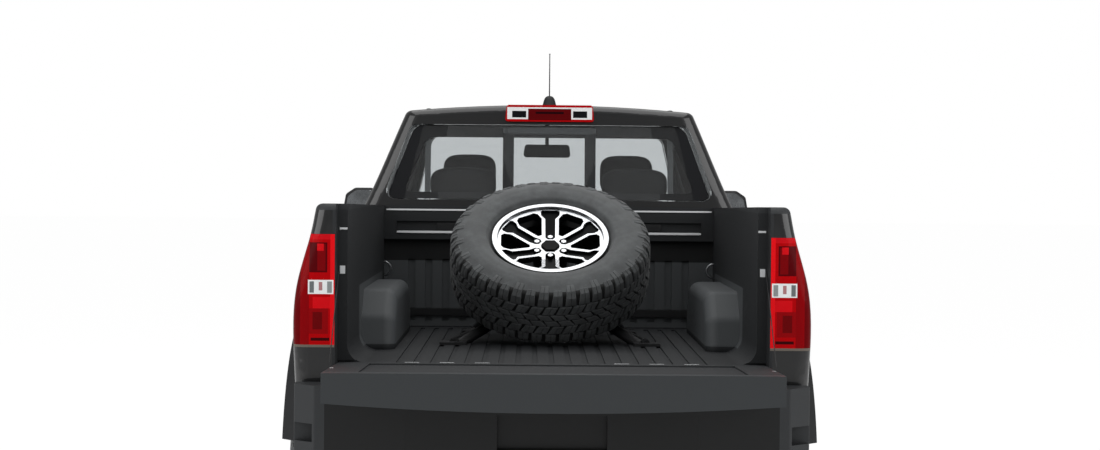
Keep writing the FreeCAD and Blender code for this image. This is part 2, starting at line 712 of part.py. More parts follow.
def make_rim(with_hub):
    barrel = revolve_z([
        (flange_radius, rim_half_width), (flange_radius, rim_half_width - 8.0), (bead_radius, rim_half_width - 14.0),
        (bead_radius, 66.0), (190.0, 44.0), (190.0, -20.0), (bead_radius, -48.0),
        (bead_radius, 14.0 - rim_half_width), (flange_radius, 8.0 - rim_half_width),
        (flange_radius, -rim_half_width), (206.0, -rim_half_width), (204.0, -48.0), (181.0, -24.0),
        (181.0, 40.0), (200.0, 64.0), (206.0, rim_half_width)])
    face = revolve_z([
        (0.0, pad_offset), (80.0, pad_offset), (96.0, 44.0), (204.0, 62.0), (204.0, wheel_face_height(204.0)),
        (84.0, wheel_face_height(84.0)), (0.0, wheel_face_height(84.0))])
    windows, pockets = [], []
    skin = revolve_z([(30.0, wheel_face_height(30.0) - 11.0), (84.0, wheel_face_height(84.0) - 11.0),
                      (206.0, wheel_face_height(206.0) - 11.0), (206.0, 130.0), (30.0, 130.0)])
    step = 360.0 / spoke_count
    for i in range(spoke_count):
        windows.append(spoke_polygon([(79.0, 8.0), (118.0, 30.0), (153.0, 50.0), (180.0, 47.0), (191.0, 34.0)],
                                     i * step))
        pockets.append(spoke_polygon([(44.0, 10.0), (56.0, 19.0), (156.0, 20.0), (174.0, 36.0), (192.0, 38.0),
                                      (200.0, 31.0)], (i + 0.5) * step).common(skin))
    for i in range(lug_count):
        hole = Part.makeCylinder(14.0, 60.0, V(lug_circle_radius, 0, wheel_face_height(0.0) - 20.0))
        hole.rotate(V(0, 0, 0), V(0, 0, 1), (i + 0.5) * 60.0)
        pockets.append(hole)
    rim = barrel.fuse(face.cut(windows + pockets)).removeSplitter()
    nuts = []
    for i in range(lug_count):
        nut = prism(polygon([V(10.5 * math.cos(math.radians(a)), 10.5 * math.sin(math.radians(a)),
                               wheel_face_height(0.0) - 22.0) for a in range(0, 360, 60)]), V(0, 0, 24.0))
        nut.translate(V(lug_circle_radius, 0, 0))
        nut.rotate(V(0, 0, 0), V(0, 0, 1), (i + 0.5) * 60.0)
        nuts.append(nut)
    cap = prism(polygon([V(35.0 * math.cos(math.radians(a)), 35.0 * math.sin(math.radians(a)), 58.0)
                         for a in range(0, 360, 60)]), V(0, 0, 14.0))
    pieces = [rim, cap] + nuts
    if with_hub:
        pieces.append(Part.makeCylinder(76.0, pad_offset + 20.0, V(0, 0, -20.0)))
        pieces.append(Part.makeCylinder(158.0, 28.0, V(0, 0, -disc_depth)))
        pieces.append(Part.makeCylinder(90.0, 30.0, V(0, 0, -disc_depth)))
    else:
        pieces[0] = pieces[0].cut(Part.makeCylinder(bore_radius, 22.0, V(0, 0, pad_offset - 1.0)))
    return fuse(pieces)


def make_tyre():
    side = tyre_half_width
    tread = tread_half_width
    outer = [(bead_radius, -rim_half_width + 15.0), (flange_radius + 3.0, -rim_half_width + 10.0),
             (248.0, -side + 10.0), (278.0, -side + 1.0), (306.0, -side), (340.0, -side + 6.0), (368.0, -side + 15.0),
             (379.0, -tread - 4.0), (386.0, -tread + 16.0), (tyre_radius, -tread * 0.4)]
    outer += [(r, -z) for r, z in reversed(outer)]
    inner = [(bead_radius, rim_half_width - 40.0), (246.0, side - 26.0), (300.0, side - 14.0),
             (352.0, side - 26.0), (368.0, tread - 30.0)]
    inner += [(r, -z) for r, z in reversed(inner)]
    return revolve_z(outer + inner)


def placed_wheel(shape, back, side):
    turned = shape.copy()
    turned.rotate(V(0, 0, 0), V(0, 1, 0), 90.0)
    if side == "left":
        turned = mirrored(turned)
    turned.translate(V(half_track if side == "right" else -half_track, along(back), axle_height))
    return turned


def placed_spare(shape):
    turned = shape.copy()
    turned.rotate(V(0, 0, 0), V(0, 0, 1), 30.0)
    turned.rotate(V(0, 0, 0), V(1, 0, 0), 90.0 - spare_lean)
    turned.translate(spare_point(0.0, 0.0, 0.0))
    return turned


# A point in the spare wheel's own axes: sideways, up the wheel, and out along its axle
def spare_point(x, up, out):
    lean = math.radians(spare_lean)
    out_y, out_z = -math.cos(lean), math.sin(lean)
    up_y, up_z = math.sin(lean), math.cos(lean)
    depth = out - tyre_half_width
    return V(x, along(spare_face_back) + up * up_y + depth * out_y, spare_face_height + up * up_z + depth * out_z)


def to_point(v):
    return (v.x, front_axle_y - v.y, v.z)


def make_spare_carrier():
    behind = -tyre_half_width - 30.0
    plate_back = spare_point(0, 0, behind - 12.0)
    normal = spare_point(0, 0, 1.0) - spare_point(0, 0, 0.0)
    spider = Part.makeCylinder(120.0, 24.0, plate_back, normal)
    post = Part.makeCylinder(66.0, pad_offset - seat_gap - behind, spare_point(0, 0, behind), normal)
    pieces = [spider, post]
    foot = box_floor + seat_gap
    for sx in (-1.0, 1.0):
        hub_low = to_point(spare_point(sx * 90.0, -60.0, behind))
        low = to_point(spare_point(sx * 350.0, -330.0, behind))
        rear_foot = (sx * 365.0, low[1] + 20.0, foot + 8.0)
        hub_high = to_point(spare_point(sx * 90.0, 60.0, behind))
        front_foot = (sx * 300.0, 2915.0, foot + 8.0)
        pieces.append(bar([hub_low, low, rear_foot], 20.0))
        pieces.append(bar([hub_high, front_foot], 20.0))
        pieces.append(bar([rear_foot, front_foot], 14.0))
        for x, back in ((sx * 365.0, rear_foot[1]), (sx * 300.0, 2915.0)):
            pieces.append(box(x - 50.0, x + 50.0, back - 50.0, back + 50.0, foot, foot + 10.0))
    carrier = fuse(pieces)
    return carrier.cut(box(-800.0, 800.0, 2700.0, 4200.0, 500.0, foot))


# Running gear

# Two rails with their brackets, and cross tubes seated between them
def make_ladder_frame(front_bumper):
    low, high = front_rail
    rail = across([(-850.0, low), (2630.0, low), (2830.0, rear_rail[0]), (3650.0, rear_rail[0]), (3800.0, 600.0),
                   (4300.0, 600.0), (4300.0, rear_rail[1]), (2770.0, rear_rail[1]), (2600.0, high), (-850.0, high)],
                  rail_inner, rail_outer).cut(front_bumper)
    pieces = [rail]
    for back in (-150.0, 150.0):
        pieces.append(box(400.0, 440.0, back - 30.0, back + 30.0, 280.0, low + 10.0))
    pieces.append(box(436.0, 474.0, -170.0, 170.0, high - 30.0, 620.0))
    pieces.append(box(436.0, 474.0, 35.0, 125.0, 600.0, 920.0))
    pieces.append(box(440.0, 606.0, 35.0, 125.0, 900.0, 924.0))
    for back in (2640.0, 3940.0):
        pieces.append(box(456.0, 516.0, back - 32.0, back + 32.0, 486.0, 606.0))
    for back in (700.0, 1450.0, 2250.0):
        pieces.append(rod((428.0, back, high - 5.0), (428.0, back, floor_under - seat_gap), 30.0))
    cross_half = rail_inner - seat_gap
    tubes = []
    for back, z in ((-690.0, 470.0), (900.0, 462.0), (1500.0, 519.0), (2380.0, 490.0), (2900.0, 620.0),
                    (3640.0, 620.0), (4180.0, 640.0)):
        tubes.append(rod((-cross_half, back, z), (cross_half, back, z), 28.0))
    tubes.append(box(-cross_half, cross_half, -260.0, -160.0, 432.0, 470.0))
    return group(pair(fuse(pieces)) + tubes)


# A square receiver tube on a cross tube that hangs under the rails' ends
def make_hitch_receiver():
    hollow = box(-25.4, 25.4, receiver_front + 30.0, receiver_rear + 30.0, receiver_height - 25.4,
                 receiver_height + 25.4)
    tube = box(-31.75, 31.75, receiver_front, receiver_rear, receiver_height - 31.75, receiver_height + 31.75)
    cross = rod((-440.0, 4190.0, receiver_height), (440.0, 4190.0, receiver_height), 30.0)
    hangers = pair(box(400.0, 440.0, 4150.0, 4230.0, receiver_height - 10.0, 600.0 - seat_gap))
    pin = rod((-60.0, hitch_pin_back, receiver_height), (60.0, hitch_pin_back, receiver_height), hitch_pin_radius)
    return fuse([tube, cross] + hangers).cut([hollow, pin])


def make_powertrain():
    engine = box(-250.0, 250.0, -520.0, 130.0, 520.0, 1040.0)
    engine = engine.makeChamfer(40.0, [e for e in engine.Edges if e.BoundBox.ZMin > 1030.0])
    sump = box(-150.0, 150.0, -480.0, -300.0, 440.0, 530.0)
    gearbox = lengthwise([(-150.0, 410.0), (150.0, 410.0), (150.0, 520.0), (90.0, 552.0), (-90.0, 552.0),
                          (-150.0, 520.0)], 120.0, 860.0)
    bell = box(-190.0, 190.0, 110.0, 300.0, 430.0, 700.0)
    radiator = box(-340.0, 340.0, -740.0, -680.0, 490.0, 1000.0)
    radiator = radiator.cut(rod((-430.0, -690.0, 470.0), (430.0, -690.0, 470.0), 28.0 + seat_gap))
    stay = pair(box(250.0, 436.0, -240.0, -180.0, 552.0, 600.0))
    return group([fuse([engine, sump, gearbox, bell] + stay), radiator])


def make_driveline():
    rear_shaft = bar([(0.0, 935.0, 450.0), (0.0, 1560.0, 450.0), (0.0, 3080.0, 388.0)], 36.0)
    transfer = box(-210.0, 120.0, 860.0 + seat_gap, 866.0, 420.0, 540.0).fuse(box(-210.0, 120.0, 866.0, 940.0, 380.0, 500.0))
    transfer = transfer.cut(rod((-420.0, 900.0, 462.0), (420.0, 900.0, 462.0), 28.0 + seat_gap))
    front_shaft = rod((-170.0, 866.0, 395.0), (-170.0, 110.0, 380.0), 24.0)
    front_diff = box(-210.0, 150.0, -90.0, 112.0, 310.0, 398.0)
    half_shaft = rod((-560.0, 0.0, axle_height - 10.0), (560.0, 0.0, axle_height - 10.0), 15.0)
    return fuse([rear_shaft, transfer, front_shaft, front_diff, half_shaft])


def make_rear_axle():
    tube = rod((-770.0, rear_axle_back, axle_height), (770.0, rear_axle_back, axle_height), 44.0)
    spindle_end = half_track - disc_depth - move_gap
    spindle = rod((-spindle_end, rear_axle_back, axle_height), (spindle_end, rear_axle_back, axle_height), 30.0)
    pumpkin = spun([(0.0, -170.0), (60.0, -165.0), (120.0, -110.0), (150.0, -45.0), (150.0, 45.0), (120.0, 110.0),
                    (60.0, 165.0), (0.0, 170.0)], rear_axle_back, axle_height)
    nose = rod((0.0, 3088.0, axle_height + 3.0), (0.0, 3200.0, axle_height + 3.0), 60.0)
    plates = pair(rod((742.0, rear_axle_back, axle_height), (770.0, rear_axle_back, axle_height), 120.0))
    seats = pair(box(518.0, 582.0, rear_axle_back - 60.0, rear_axle_back + 60.0, axle_height, axle_height + 60.0))
    return fuse([tube, spindle, pumpkin, nose] + plates + seats)


def make_rear_suspension():
    low = axle_height + 60.0 + seat_gap
    leaf = across([(2640.0, 506.0), (2900.0, 462.0), (3150.0, low), (3372.0, low), (3640.0, 462.0), (3940.0, 514.0),
                   (3940.0, 540.0), (3640.0, 494.0), (3372.0, low + 44.0), (3150.0, low + 44.0), (2900.0, 494.0),
                   (2640.0, 532.0)], 520.0, 580.0)
    pins = [rod((516.0 + seat_gap, back, 524.0), (584.0, back, 524.0), 20.0) for back in (2640.0, 3940.0)]
    damper = bar([(492.0, 3420.0, 470.0), (492.0, 3560.0, 640.0)], 22.0)
    pin = rod((rail_outer + seat_gap, 3560.0, 640.0), (500.0, 3560.0, 640.0), 14.0)
    damper = fuse([damper, pin])
    return group(pair(fuse([leaf] + pins)) + pair(damper))


lower_joint = axle_height - ball_reach - 22.0
upper_joint = axle_height + ball_reach + 26.0


def make_front_suspension():
    solids = []
    low = lower_joint - 34.0
    high = upper_joint
    lower_cup = rod((kingpin_half, 0.0, low), (kingpin_half, 0.0, lower_joint), 24.0)
    lower_ends = [(440.0 + seat_gap, -150.0, 300.0), (440.0 + seat_gap, 150.0, 300.0)]
    lower = [lower_cup] + [rod(end, (kingpin_half, 0.0, low + 8.0), 20.0) for end in lower_ends]
    lower.append(box(520.0, 620.0, -60.0, 100.0, 258.0, 284.0))
    upper_cup = rod((kingpin_half, 0.0, high), (kingpin_half, 0.0, high + 30.0), 22.0)
    upper_ends = [(474.0 + seat_gap, -125.0, 590.0), (474.0 + seat_gap, 140.0, 590.0)]
    upper = [upper_cup] + [rod(end, (kingpin_half, 0.0, high + 16.0), 14.0) for end in upper_ends]
    spring = rod((560.0, 80.0, 284.0), (560.0, 80.0, 900.0 - seat_gap), 26.0)
    coil = rod((560.0, 80.0, 620.0), (560.0, 80.0, 880.0), 46.0)
    keep = box(474.0 + seat_gap, 1000.0, -400.0, 400.0, 560.0, 2000.0)
    keep = keep.fuse(box(440.0 + seat_gap, 1000.0, -400.0, 400.0, 0.0, 560.0))
    solids.append(fuse(lower + [spring, coil]).common(keep))
    solids.append(fuse(upper).common(keep))
    shapes = []
    for solid in solids:
        shapes += pair(solid)
    rack = rod((-380.0, 245.0, 322.0), (380.0, 245.0, 322.0), 28.0)
    rods = pair(bar([(370.0, 245.0, 322.0), (505.0, 226.0, 328.0)], 11.0))
    mounts = pair(box(392.0, 420.0, 228.0, 262.0, 318.0, front_rail[0] - seat_gap))
    return group(shapes + [fuse([rack] + rods + mounts)])


def make_knuckle(side):
    centre = axle_height
    carrier = rod((712.0, 0.0, centre), (hub_inner, 0.0, centre), 62.0)
    spindle = rod((740.0, 0.0, centre), (half_track - disc_depth - move_gap, 0.0, centre), 30.0)
    post = rod((kingpin_half, 0.0, lower_joint + move_gap), (kingpin_half, 0.0, upper_joint - move_gap), 17.0)
    arm = bar([(720.0, 20.0, centre - 30.0), (690.0, 120.0, centre - 36.0)], 15.0)
    body = fuse([carrier, spindle, post, arm])
    return body if side == "right" else mirrored(body)


def make_exhaust():
    pipe = bar([(300.0, 140.0, 500.0), (290.0, 420.0, 396.0), (250.0, 1700.0, 396.0), (250.0, 2500.0, 396.0),
                (300.0, 3000.0, 500.0), (300.0, 3500.0, 500.0), (470.0, 3900.0, 440.0), (700.0, 4060.0, 440.0)], 28.0)
    muffler = rod((250.0, 1760.0, 396.0), (250.0, 2320.0, 396.0), 84.0)
    hangers = [rod((250.0, 2380.0, 400.0), (250.0, 2380.0, 462.0 - seat_gap), 8.0),
               rod((359.5, 3640.0, 485.0), (359.5, 3640.0, 592.0 - seat_gap), 8.0)]
    return fuse([pipe, muffler] + hangers)


def make_fuel_tank():
    tank = lengthwise([(-376.0, 330.0), (-110.0, 330.0), (-90.0, 380.0), (-90.0, 500.0), (-376.0, 540.0)],
                      1560.0, 2330.0, 30.0)
    straps = [box(seat_gap - rail_inner, -360.0, back, back + 50.0, 440.0, 500.0) for back in (1700.0, 2150.0)]
    return fuse([tank] + straps)


# Cabin

def make_seats():
    shapes = []
    for cx in (-360.0, 360.0):
        base = box(cx - 200.0, cx + 200.0, 1180.0, 1560.0, cabin_floor + seat_gap, 720.0)
        cushion = across([(1120.0, 715.0), (1660.0, 715.0), (1660.0, 850.0), (1140.0, 890.0)],
                         cx - 255.0, cx + 255.0, 34.0)
        back = across([(1600.0, 780.0), (1740.0, 780.0), (1880.0, 1400.0), (1790.0, 1410.0)],
                      cx - 250.0, cx + 250.0, 34.0)
        head = across([(1805.0, 1440.0), (1905.0, 1430.0), (1925.0, 1610.0), (1835.0, 1620.0)],
                      cx - 125.0, cx + 125.0, 34.0)
        posts = [rod((cx + dx, 1835.0, 1380.0), (cx + dx, 1865.0, 1460.0), 7.0) for dx in (-55.0, 55.0)]
        shapes.append(fuse([base, cushion, back, head] + posts))
    bench = box(-640.0, 640.0, 2080.0, 2340.0, cabin_floor + seat_gap, 740.0)
    cushion = across([(1990.0, 735.0), (2440.0, 735.0), (2440.0, 860.0), (2000.0, 880.0)], -690.0, 690.0, 34.0)
    back = across([(2350.0, 800.0), (2470.0, 800.0), (2478.0, 1330.0), (2410.0, 1335.0)], -680.0, 680.0, 30.0)
    parts = [bench, cushion, back]
    for cx, half, low, high in ((-370.0, 145.0, 1400.0, 1550.0), (0.0, 110.0, 1345.0, 1410.0),
                                (370.0, 145.0, 1400.0, 1550.0)):
        parts.append(across([(2378.0, low), (2448.0, low), (2430.0, high), (2366.0, high)], cx - half, cx + half, 24.0))
        parts += [rod((cx + dx, 2436.0, 1310.0), (cx + dx, 2420.0, low + 20.0), 7.0) for dx in (-50.0, 50.0)]
    shapes.append(fuse(parts))
    return group(shapes)


def make_dashboard(steering_wheel):
    body = across([(520.0, 860.0), (720.0, 860.0), (800.0, 960.0), (800.0, 1080.0), (730.0, 1170.0), (520.0, 1180.0)],
                  -900.0, 900.0, 24.0)
    room = [shape for shape in cab_parts(cab_wall_low + seat_gap, cab_wall_high + seat_gap, roof_wall, cabin_floor)]
    body = body.common(room[0])
    reach = box(-752.0, 752.0, 500.0, 900.0, 600.0, 1300.0)
    console = across([(700.0, cabin_floor + seat_gap), (1620.0, cabin_floor + seat_gap), (1620.0, 860.0),
                      (1240.0, 840.0), (1180.0, 760.0), (790.0, 780.0), (700.0, 900.0)], -92.0, 92.0, 18.0)
    return fuse([body.common(reach), console]).cut(steering_wheel)


def make_steering_wheel():
    centre = V(-360.0, along(930.0), 1080.0)
    tilt = V(0.0, -math.cos(math.radians(25.0)), math.sin(math.radians(25.0)))
    ring = Part.makeTorus(184.0, 15.0, centre, tilt)
    hub = Part.makeCylinder(52.0, 60.0, centre - tilt * 50.0, tilt)
    column = Part.makeCylinder(28.0, 230.0, centre - tilt * 260.0, tilt)
    spokes = []
    for angle in (0.0, 180.0, 270.0):
        spoke = Part.makeBox(180.0, 34.0, 14.0, V(0, -17.0, -7.0))
        spoke.rotate(V(0, 0, 0), V(0, 0, 1), angle)
        spoke.rotate(V(0, 0, 0), V(1, 0, 0), 65.0)
        spoke.translate(centre)
        spokes.append(spoke)
    return fuse([ring, hub, column] + spokes)


def make_cabin_mirror():
    glass = lengthwise([(-118.0, 1612.0), (118.0, 1612.0), (110.0, 1676.0), (-110.0, 1676.0)], 1150.0, 1172.0, 16.0)
    stem = rod((0.0, 1160.0, 1650.0), (0.0, 1120.0, 1790.0), 9.0)
    return fuse([glass, stem]).cut(outer_cab.cut(inner_cab))


def make_antenna():
    base = across([(2290.0, 1800.0), (2372.0, 1800.0), (2366.0, 1858.0), (2338.0, 1868.0), (2322.0, 1868.0)],
                  -30.0, 30.0, 6.0)
    mast = rod((0.0, 2332.0, 1850.0), (0.0, 2332.0, 2052.0), 4.5)
    return fuse([base, mast]).cut(outer_cab)


def make_door_mirror(side, door):
    housing = lengthwise([(884.0, 1268.0), (1030.0, 1268.0), (1056.0, 1330.0), (1040.0, 1420.0), (992.0, 1452.0),
                          (892.0, 1452.0)], 640.0, 738.0, 26.0)
    housing = housing.makeFillet(20.0, [e for e in housing.Edges if e.BoundBox.YLength < 1.0])
    arm = bar([(815.0, 706.0, 1266.0), (900.0, 690.0, 1300.0)], 24.0)
    mirror = fuse([housing, arm])
    mirror = mirror.cut(door)
    mirror = sorted(mirror.Solids, key=lambda solid: solid.Volume)[-1]
    return mirror if side == "right" else mirrored(mirror)


def make_tailgate_cable():
    return bar([(722.0, 4251.6, 1200.0), (721.0, 4560.0, 905.0)], 1.8)


def save(name, shape):
    if not shape.Solids:
        raise ValueError(name + " has no solid")
    if len(shape.Solids) == 1:
        shape = shape.Solids[0]
    shape.exportStep("parts/" + name + ".step")


def main():
    os.makedirs("parts", exist_ok=True)
    save("cab_shell", make_cab_shell())
    save("cab_glass", group([glass_shell.common(windscreen_prism(seat_gap)),
                             glass_shell.common(backlight_prism(seat_gap))]))
    save("front_fenders", make_fenders())
    save("hood", make_hood())
    front_bumper = make_front_bumper()
    save("front_bumper", front_bumper)
    save("grille", make_grille())
    save("headlamps", make_headlamps())
    save("arch_flares", group([make_front_flares(), make_rear_flares()]))
    save("cargo_box", make_cargo_box())
    save("rear_lamps", make_rear_lamps())
    save("rear_bumper", make_rear_bumper())
    save("tailgate", make_tailgate())
    save("antenna", make_antenna())
    for end, points, window in (("front", front_door_outline, front_window), ("rear", rear_door_outline, rear_window)):
        door = make_door(points, window, "right")
        pane = glass_shell.common(window_prism(window, seat_gap))
        for side in ("left", "right"):
            save(end + "_door_" + side, door if side == "right" else mirrored(door))
            save(end + "_door_glass_" + side, pane if side == "right" else mirrored(pane))
            if end == "front":
                save("door_mirror_" + side, make_door_mirror(side, door))
    tyre = make_tyre()
    rim = make_rim(True)
    for end, back in (("front", 0.0), ("rear", rear_axle_back)):
        for side in ("left", "right"):
            save(end + "_tyre_" + side, placed_wheel(tyre, back, side))
            save(end + "_rim_" + side, placed_wheel(rim, back, side))
    save("spare_tyre", placed_spare(tyre))
    save("spare_rim", placed_spare(make_rim(False)))
    save("spare_carrier", make_spare_carrier())
    save("ladder_frame", make_ladder_frame(front_bumper))
    save("hitch_receiver", make_hitch_receiver())
    save("powertrain", make_powertrain())
    save("driveline", make_driveline())
    save("rear_axle", make_rear_axle())
    save("rear_suspension", make_rear_suspension())
    save("front_suspension", make_front_suspension())
    save("knuckle_left", make_knuckle("left"))
    save("knuckle_right", make_knuckle("right"))
    save("exhaust", make_exhaust())
    save("fuel_tank", make_fuel_tank())
    save("seats", make_seats())
    steering_wheel = make_steering_wheel()
    save("steering_wheel", steering_wheel)
    save("dashboard", make_dashboard(steering_wheel))
    save("cabin_mirror", make_cabin_mirror())
    save("tailgate_cables", group(pair(make_tailgate_cable())))


main()
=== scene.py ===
from functools import partial
import math
import bpy
import numpy as np
from mathutils import Matrix, Vector


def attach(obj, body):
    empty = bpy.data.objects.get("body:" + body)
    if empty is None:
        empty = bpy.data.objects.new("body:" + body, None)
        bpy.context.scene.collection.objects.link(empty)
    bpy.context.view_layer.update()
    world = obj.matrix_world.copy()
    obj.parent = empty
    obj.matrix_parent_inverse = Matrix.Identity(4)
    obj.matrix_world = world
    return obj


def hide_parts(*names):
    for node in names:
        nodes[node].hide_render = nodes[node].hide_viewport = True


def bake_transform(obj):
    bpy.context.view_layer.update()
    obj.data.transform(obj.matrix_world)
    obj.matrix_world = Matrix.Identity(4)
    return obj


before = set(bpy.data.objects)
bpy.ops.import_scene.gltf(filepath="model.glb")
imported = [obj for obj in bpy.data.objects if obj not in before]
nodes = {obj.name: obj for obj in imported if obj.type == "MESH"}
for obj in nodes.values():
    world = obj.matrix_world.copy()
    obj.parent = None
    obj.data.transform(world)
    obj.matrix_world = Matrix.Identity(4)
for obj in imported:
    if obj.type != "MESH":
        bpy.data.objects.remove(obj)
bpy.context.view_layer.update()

frontAxleY = 1.948834  # the source's along(back) is frontAxleY minus back
bothSides = (("left", -1.0), ("right", 1.0))
squareEdges = 14.0  # a power that leaves a rounded form's edges nearly square
almostClosed = 1e-4  # radius that a tube's end closes to
outsideX = 1.2  # where rays towards the truck's sides start
print("frame loaded")


def along(back):
    return frontAxleY - back


def toLinear(hexColour):
    parts = [int(hexColour[i:i + 2], 16) / 255.0 for i in (1, 3, 5)]
    return tuple(c / 12.92 if c <= 0.04045 else ((c + 0.055) / 1.055) ** 2.4 for c in parts) + (1.0,)


def addNode(tree, kind, inputs, out=0, **settings):
    # adds one node, sets or links its sockets, named or listed in order, and gives back one of its outputs
    node = tree.nodes.new("ShaderNode" + kind)
    for name, value in settings.items():
        setattr(node, name, value)
    for name, value in inputs.items() if isinstance(inputs, dict) else enumerate(inputs):
        if isinstance(value, bpy.types.NodeSocket):
            tree.links.new(value, node.inputs[name])
        else:
            node.inputs[name].default_value = value
    return node.outputs[out]


def circle(count):
    return np.linspace(0.0, 2.0 * math.pi, count, endpoint=False)


def unit(vectors):
    return vectors / np.linalg.norm(vectors, axis=-1, keepdims=True)


def spots(x, y, z):
    # points from three arrays, any of which may be a single number
    return np.stack(np.broadcast_arrays(x, y, z), axis=-1)


def placed(name, data):
    thing = bpy.data.objects.new(name, data)
    bpy.context.scene.collection.objects.link(thing)
    return thing


# Widths of the patterns in metres; rubber skin and weave are twice as coarse as real, so that they show
widths = {"orangePeel": 0.009, "rubbing": 0.12, "stain": 0.09, "glassWave": 0.35, "dust": 0.05,
          "rubberSkin": 0.0022, "mouldSkin": 0.003, "weave": 0.00432, "latheMark": 0.0009}
waveBand = math.pi / 10.0  # width of one band of a Wave texture at scale 1


def newMaterial(name, **sockets):
    # a material with these values on its shader (Base_Color is Base Color), addNode for it, and Object coordinates
    material = bpy.data.materials.new(name)
    material.use_nodes = True
    for socket, value in sockets.items():
        value = toLinear(value) if isinstance(value, str) else value
        material.node_tree.nodes["Principled BSDF"].inputs[socket.replace("_", " ")].default_value = value
    add = partial(addNode, material.node_tree)
    return material, add, add("TexCoord", {}, "Object")


def feed(material, height, distance, strength, normal="Normal", **outputs):
    # links a relief and other outputs to the material's shader, and gives the material back
    tree = material.node_tree
    outputs[normal] = addNode(tree, "Bump", {"Height": height, "Distance": distance, "Strength": strength})
    for socket, output in outputs.items():
        tree.links.new(output, tree.nodes["Principled BSDF"].inputs[socket.replace("_", " ")])
    return material


def paintFinish():
    # Clearcoated enamel, sprayed and baked: deep black with hard reflections and a faint orange peel
    material, add, where = newMaterial(
        "clearcoat_enamel_sprayed_black", Base_Color="#0a0b0d", Roughness=0.32, Coat_Weight=1.0, Coat_Roughness=0.03,
        Specular_IOR_Level=0.35)
    peel = add("TexNoise", {"Vector": where, "Scale": 1.0 / widths["orangePeel"], "Detail": 1.0})
    return feed(material, peel, 0.00005, 0.25, "Coat Normal")


def mouldedFinish(name, hexColour, roughness, grain):
    # Polypropylene, injection moulded with an etched grain: dull black that greys where it is rubbed.
    # grain is the width of one etched cell in metres, drawn about twice as coarse as real so that it shows
    material, add, where = newMaterial(name, Specular_IOR_Level=0.4)
    cell = add("TexVoronoi", {"Vector": where, "Scale": 1.0 / grain}, "Distance", feature="DISTANCE_TO_EDGE")
    height = add("Math", [cell, 0.3], operation="MINIMUM")
    cloud = add("TexNoise", {"Vector": where, "Scale": 1.0 / widths["rubbing"], "Detail": 4.0, "Roughness": 0.55})
    rubbed = add("MapRange", [cloud, 0.35, 0.75, 0.0, 1.0])
    base = toLinear(hexColour)
    pale = tuple(c + 0.007 for c in base[:3]) + (1.0,)
    shades = {0: rubbed, 6: base, 7: pale}
    return feed(material, height, 0.0003, 0.6, Base_Color=add("Mix", shades, 2, data_type="RGBA"),
                Roughness=add("MapRange", [cloud, 0.3, 0.7, roughness - 0.06, roughness + 0.06]))


def metalFinish(name, hexColour, roughness, metallic, pit, depth):
    # Cast, plated or coated metal: even colour with casting or rolling marks pit metres wide
    material, add, where = newMaterial(name, Metallic=metallic)
    grit = add("TexNoise", {"Vector": where, "Scale": 1.0 / pit, "Detail": 5.0, "Roughness": 0.7})
    cloud = add("TexNoise", {"Vector": where, "Scale": 1.0 / widths["stain"], "Detail": 4.0})
    stained = add("MapRange", [cloud, 0.35, 0.7, 0.0, 1.0])
    base = toLinear(hexColour)
    dark = tuple(c * 0.6 for c in base[:3]) + (1.0,)
    return feed(material, grit, depth, 0.5, Base_Color=add("Mix", {0: stained, 6: base, 7: dark}, 2, data_type="RGBA"),
                Roughness=add("MapRange", [grit, 0.3, 0.7, roughness - 0.08, roughness + 0.1]))


def glassFinish(name, hexColour):
    # Soda-lime sheet, float made and toughened: clear or smoked, with hard reflections and a slight wave
    material, add, where = newMaterial(name, Base_Color=hexColour, Roughness=0.0, Transmission_Weight=1.0, IOR=1.45)
    wave = add("TexNoise", {"Vector": where, "Scale": 1.0 / widths["glassWave"], "Detail": 1.0})
    return feed(material, wave, 0.0006, 0.1)


def rubberFinish(name, fresh, dusty):
    # Carbon-black rubber, moulded: matt, greyer where dust lies, with a faint mould sheen
    material, add, where = newMaterial(name, Specular_IOR_Level=0.35, Sheen_Weight=0.15)
    dust = add("TexNoise", {"Vector": where, "Scale": 1.0 / widths["dust"], "Detail": 5.0, "Roughness": 0.65})
    share = add("MapRange", [dust, 0.4, 0.75, 0.0, 1.0])
    skin = add("TexNoise", {"Vector": where, "Scale": 1.0 / widths["rubberSkin"], "Detail": 3.0})
    shades = {0: share, 6: toLinear(fresh), 7: toLinear(dusty)}
    return feed(material, skin, 0.0003, 0.5, Base_Color=add("Mix", shades, 2, data_type="RGBA"),
                Roughness=add("MapRange", [dust, 0.3, 0.7, 0.62, 0.8]))


def within(add, where, limits):
    # 1 where |x|, z and, if it is given, y lie between their limits in metres, else 0
    axes = [add("SeparateXYZ", [where], axis) for axis in ("X", "Z", "Y")]
    axes[0] = add("Math", [axes[0]], operation="ABSOLUTE")
    share = 1.0
    for axis, low, high in zip(axes, limits[::2], limits[1::2]):
        here = add("Math", [axis, (low + high) / 2.0, (high - low) / 2.0], operation="COMPARE")
        share = add("Math", [share, here], operation="MULTIPLY")
    return share


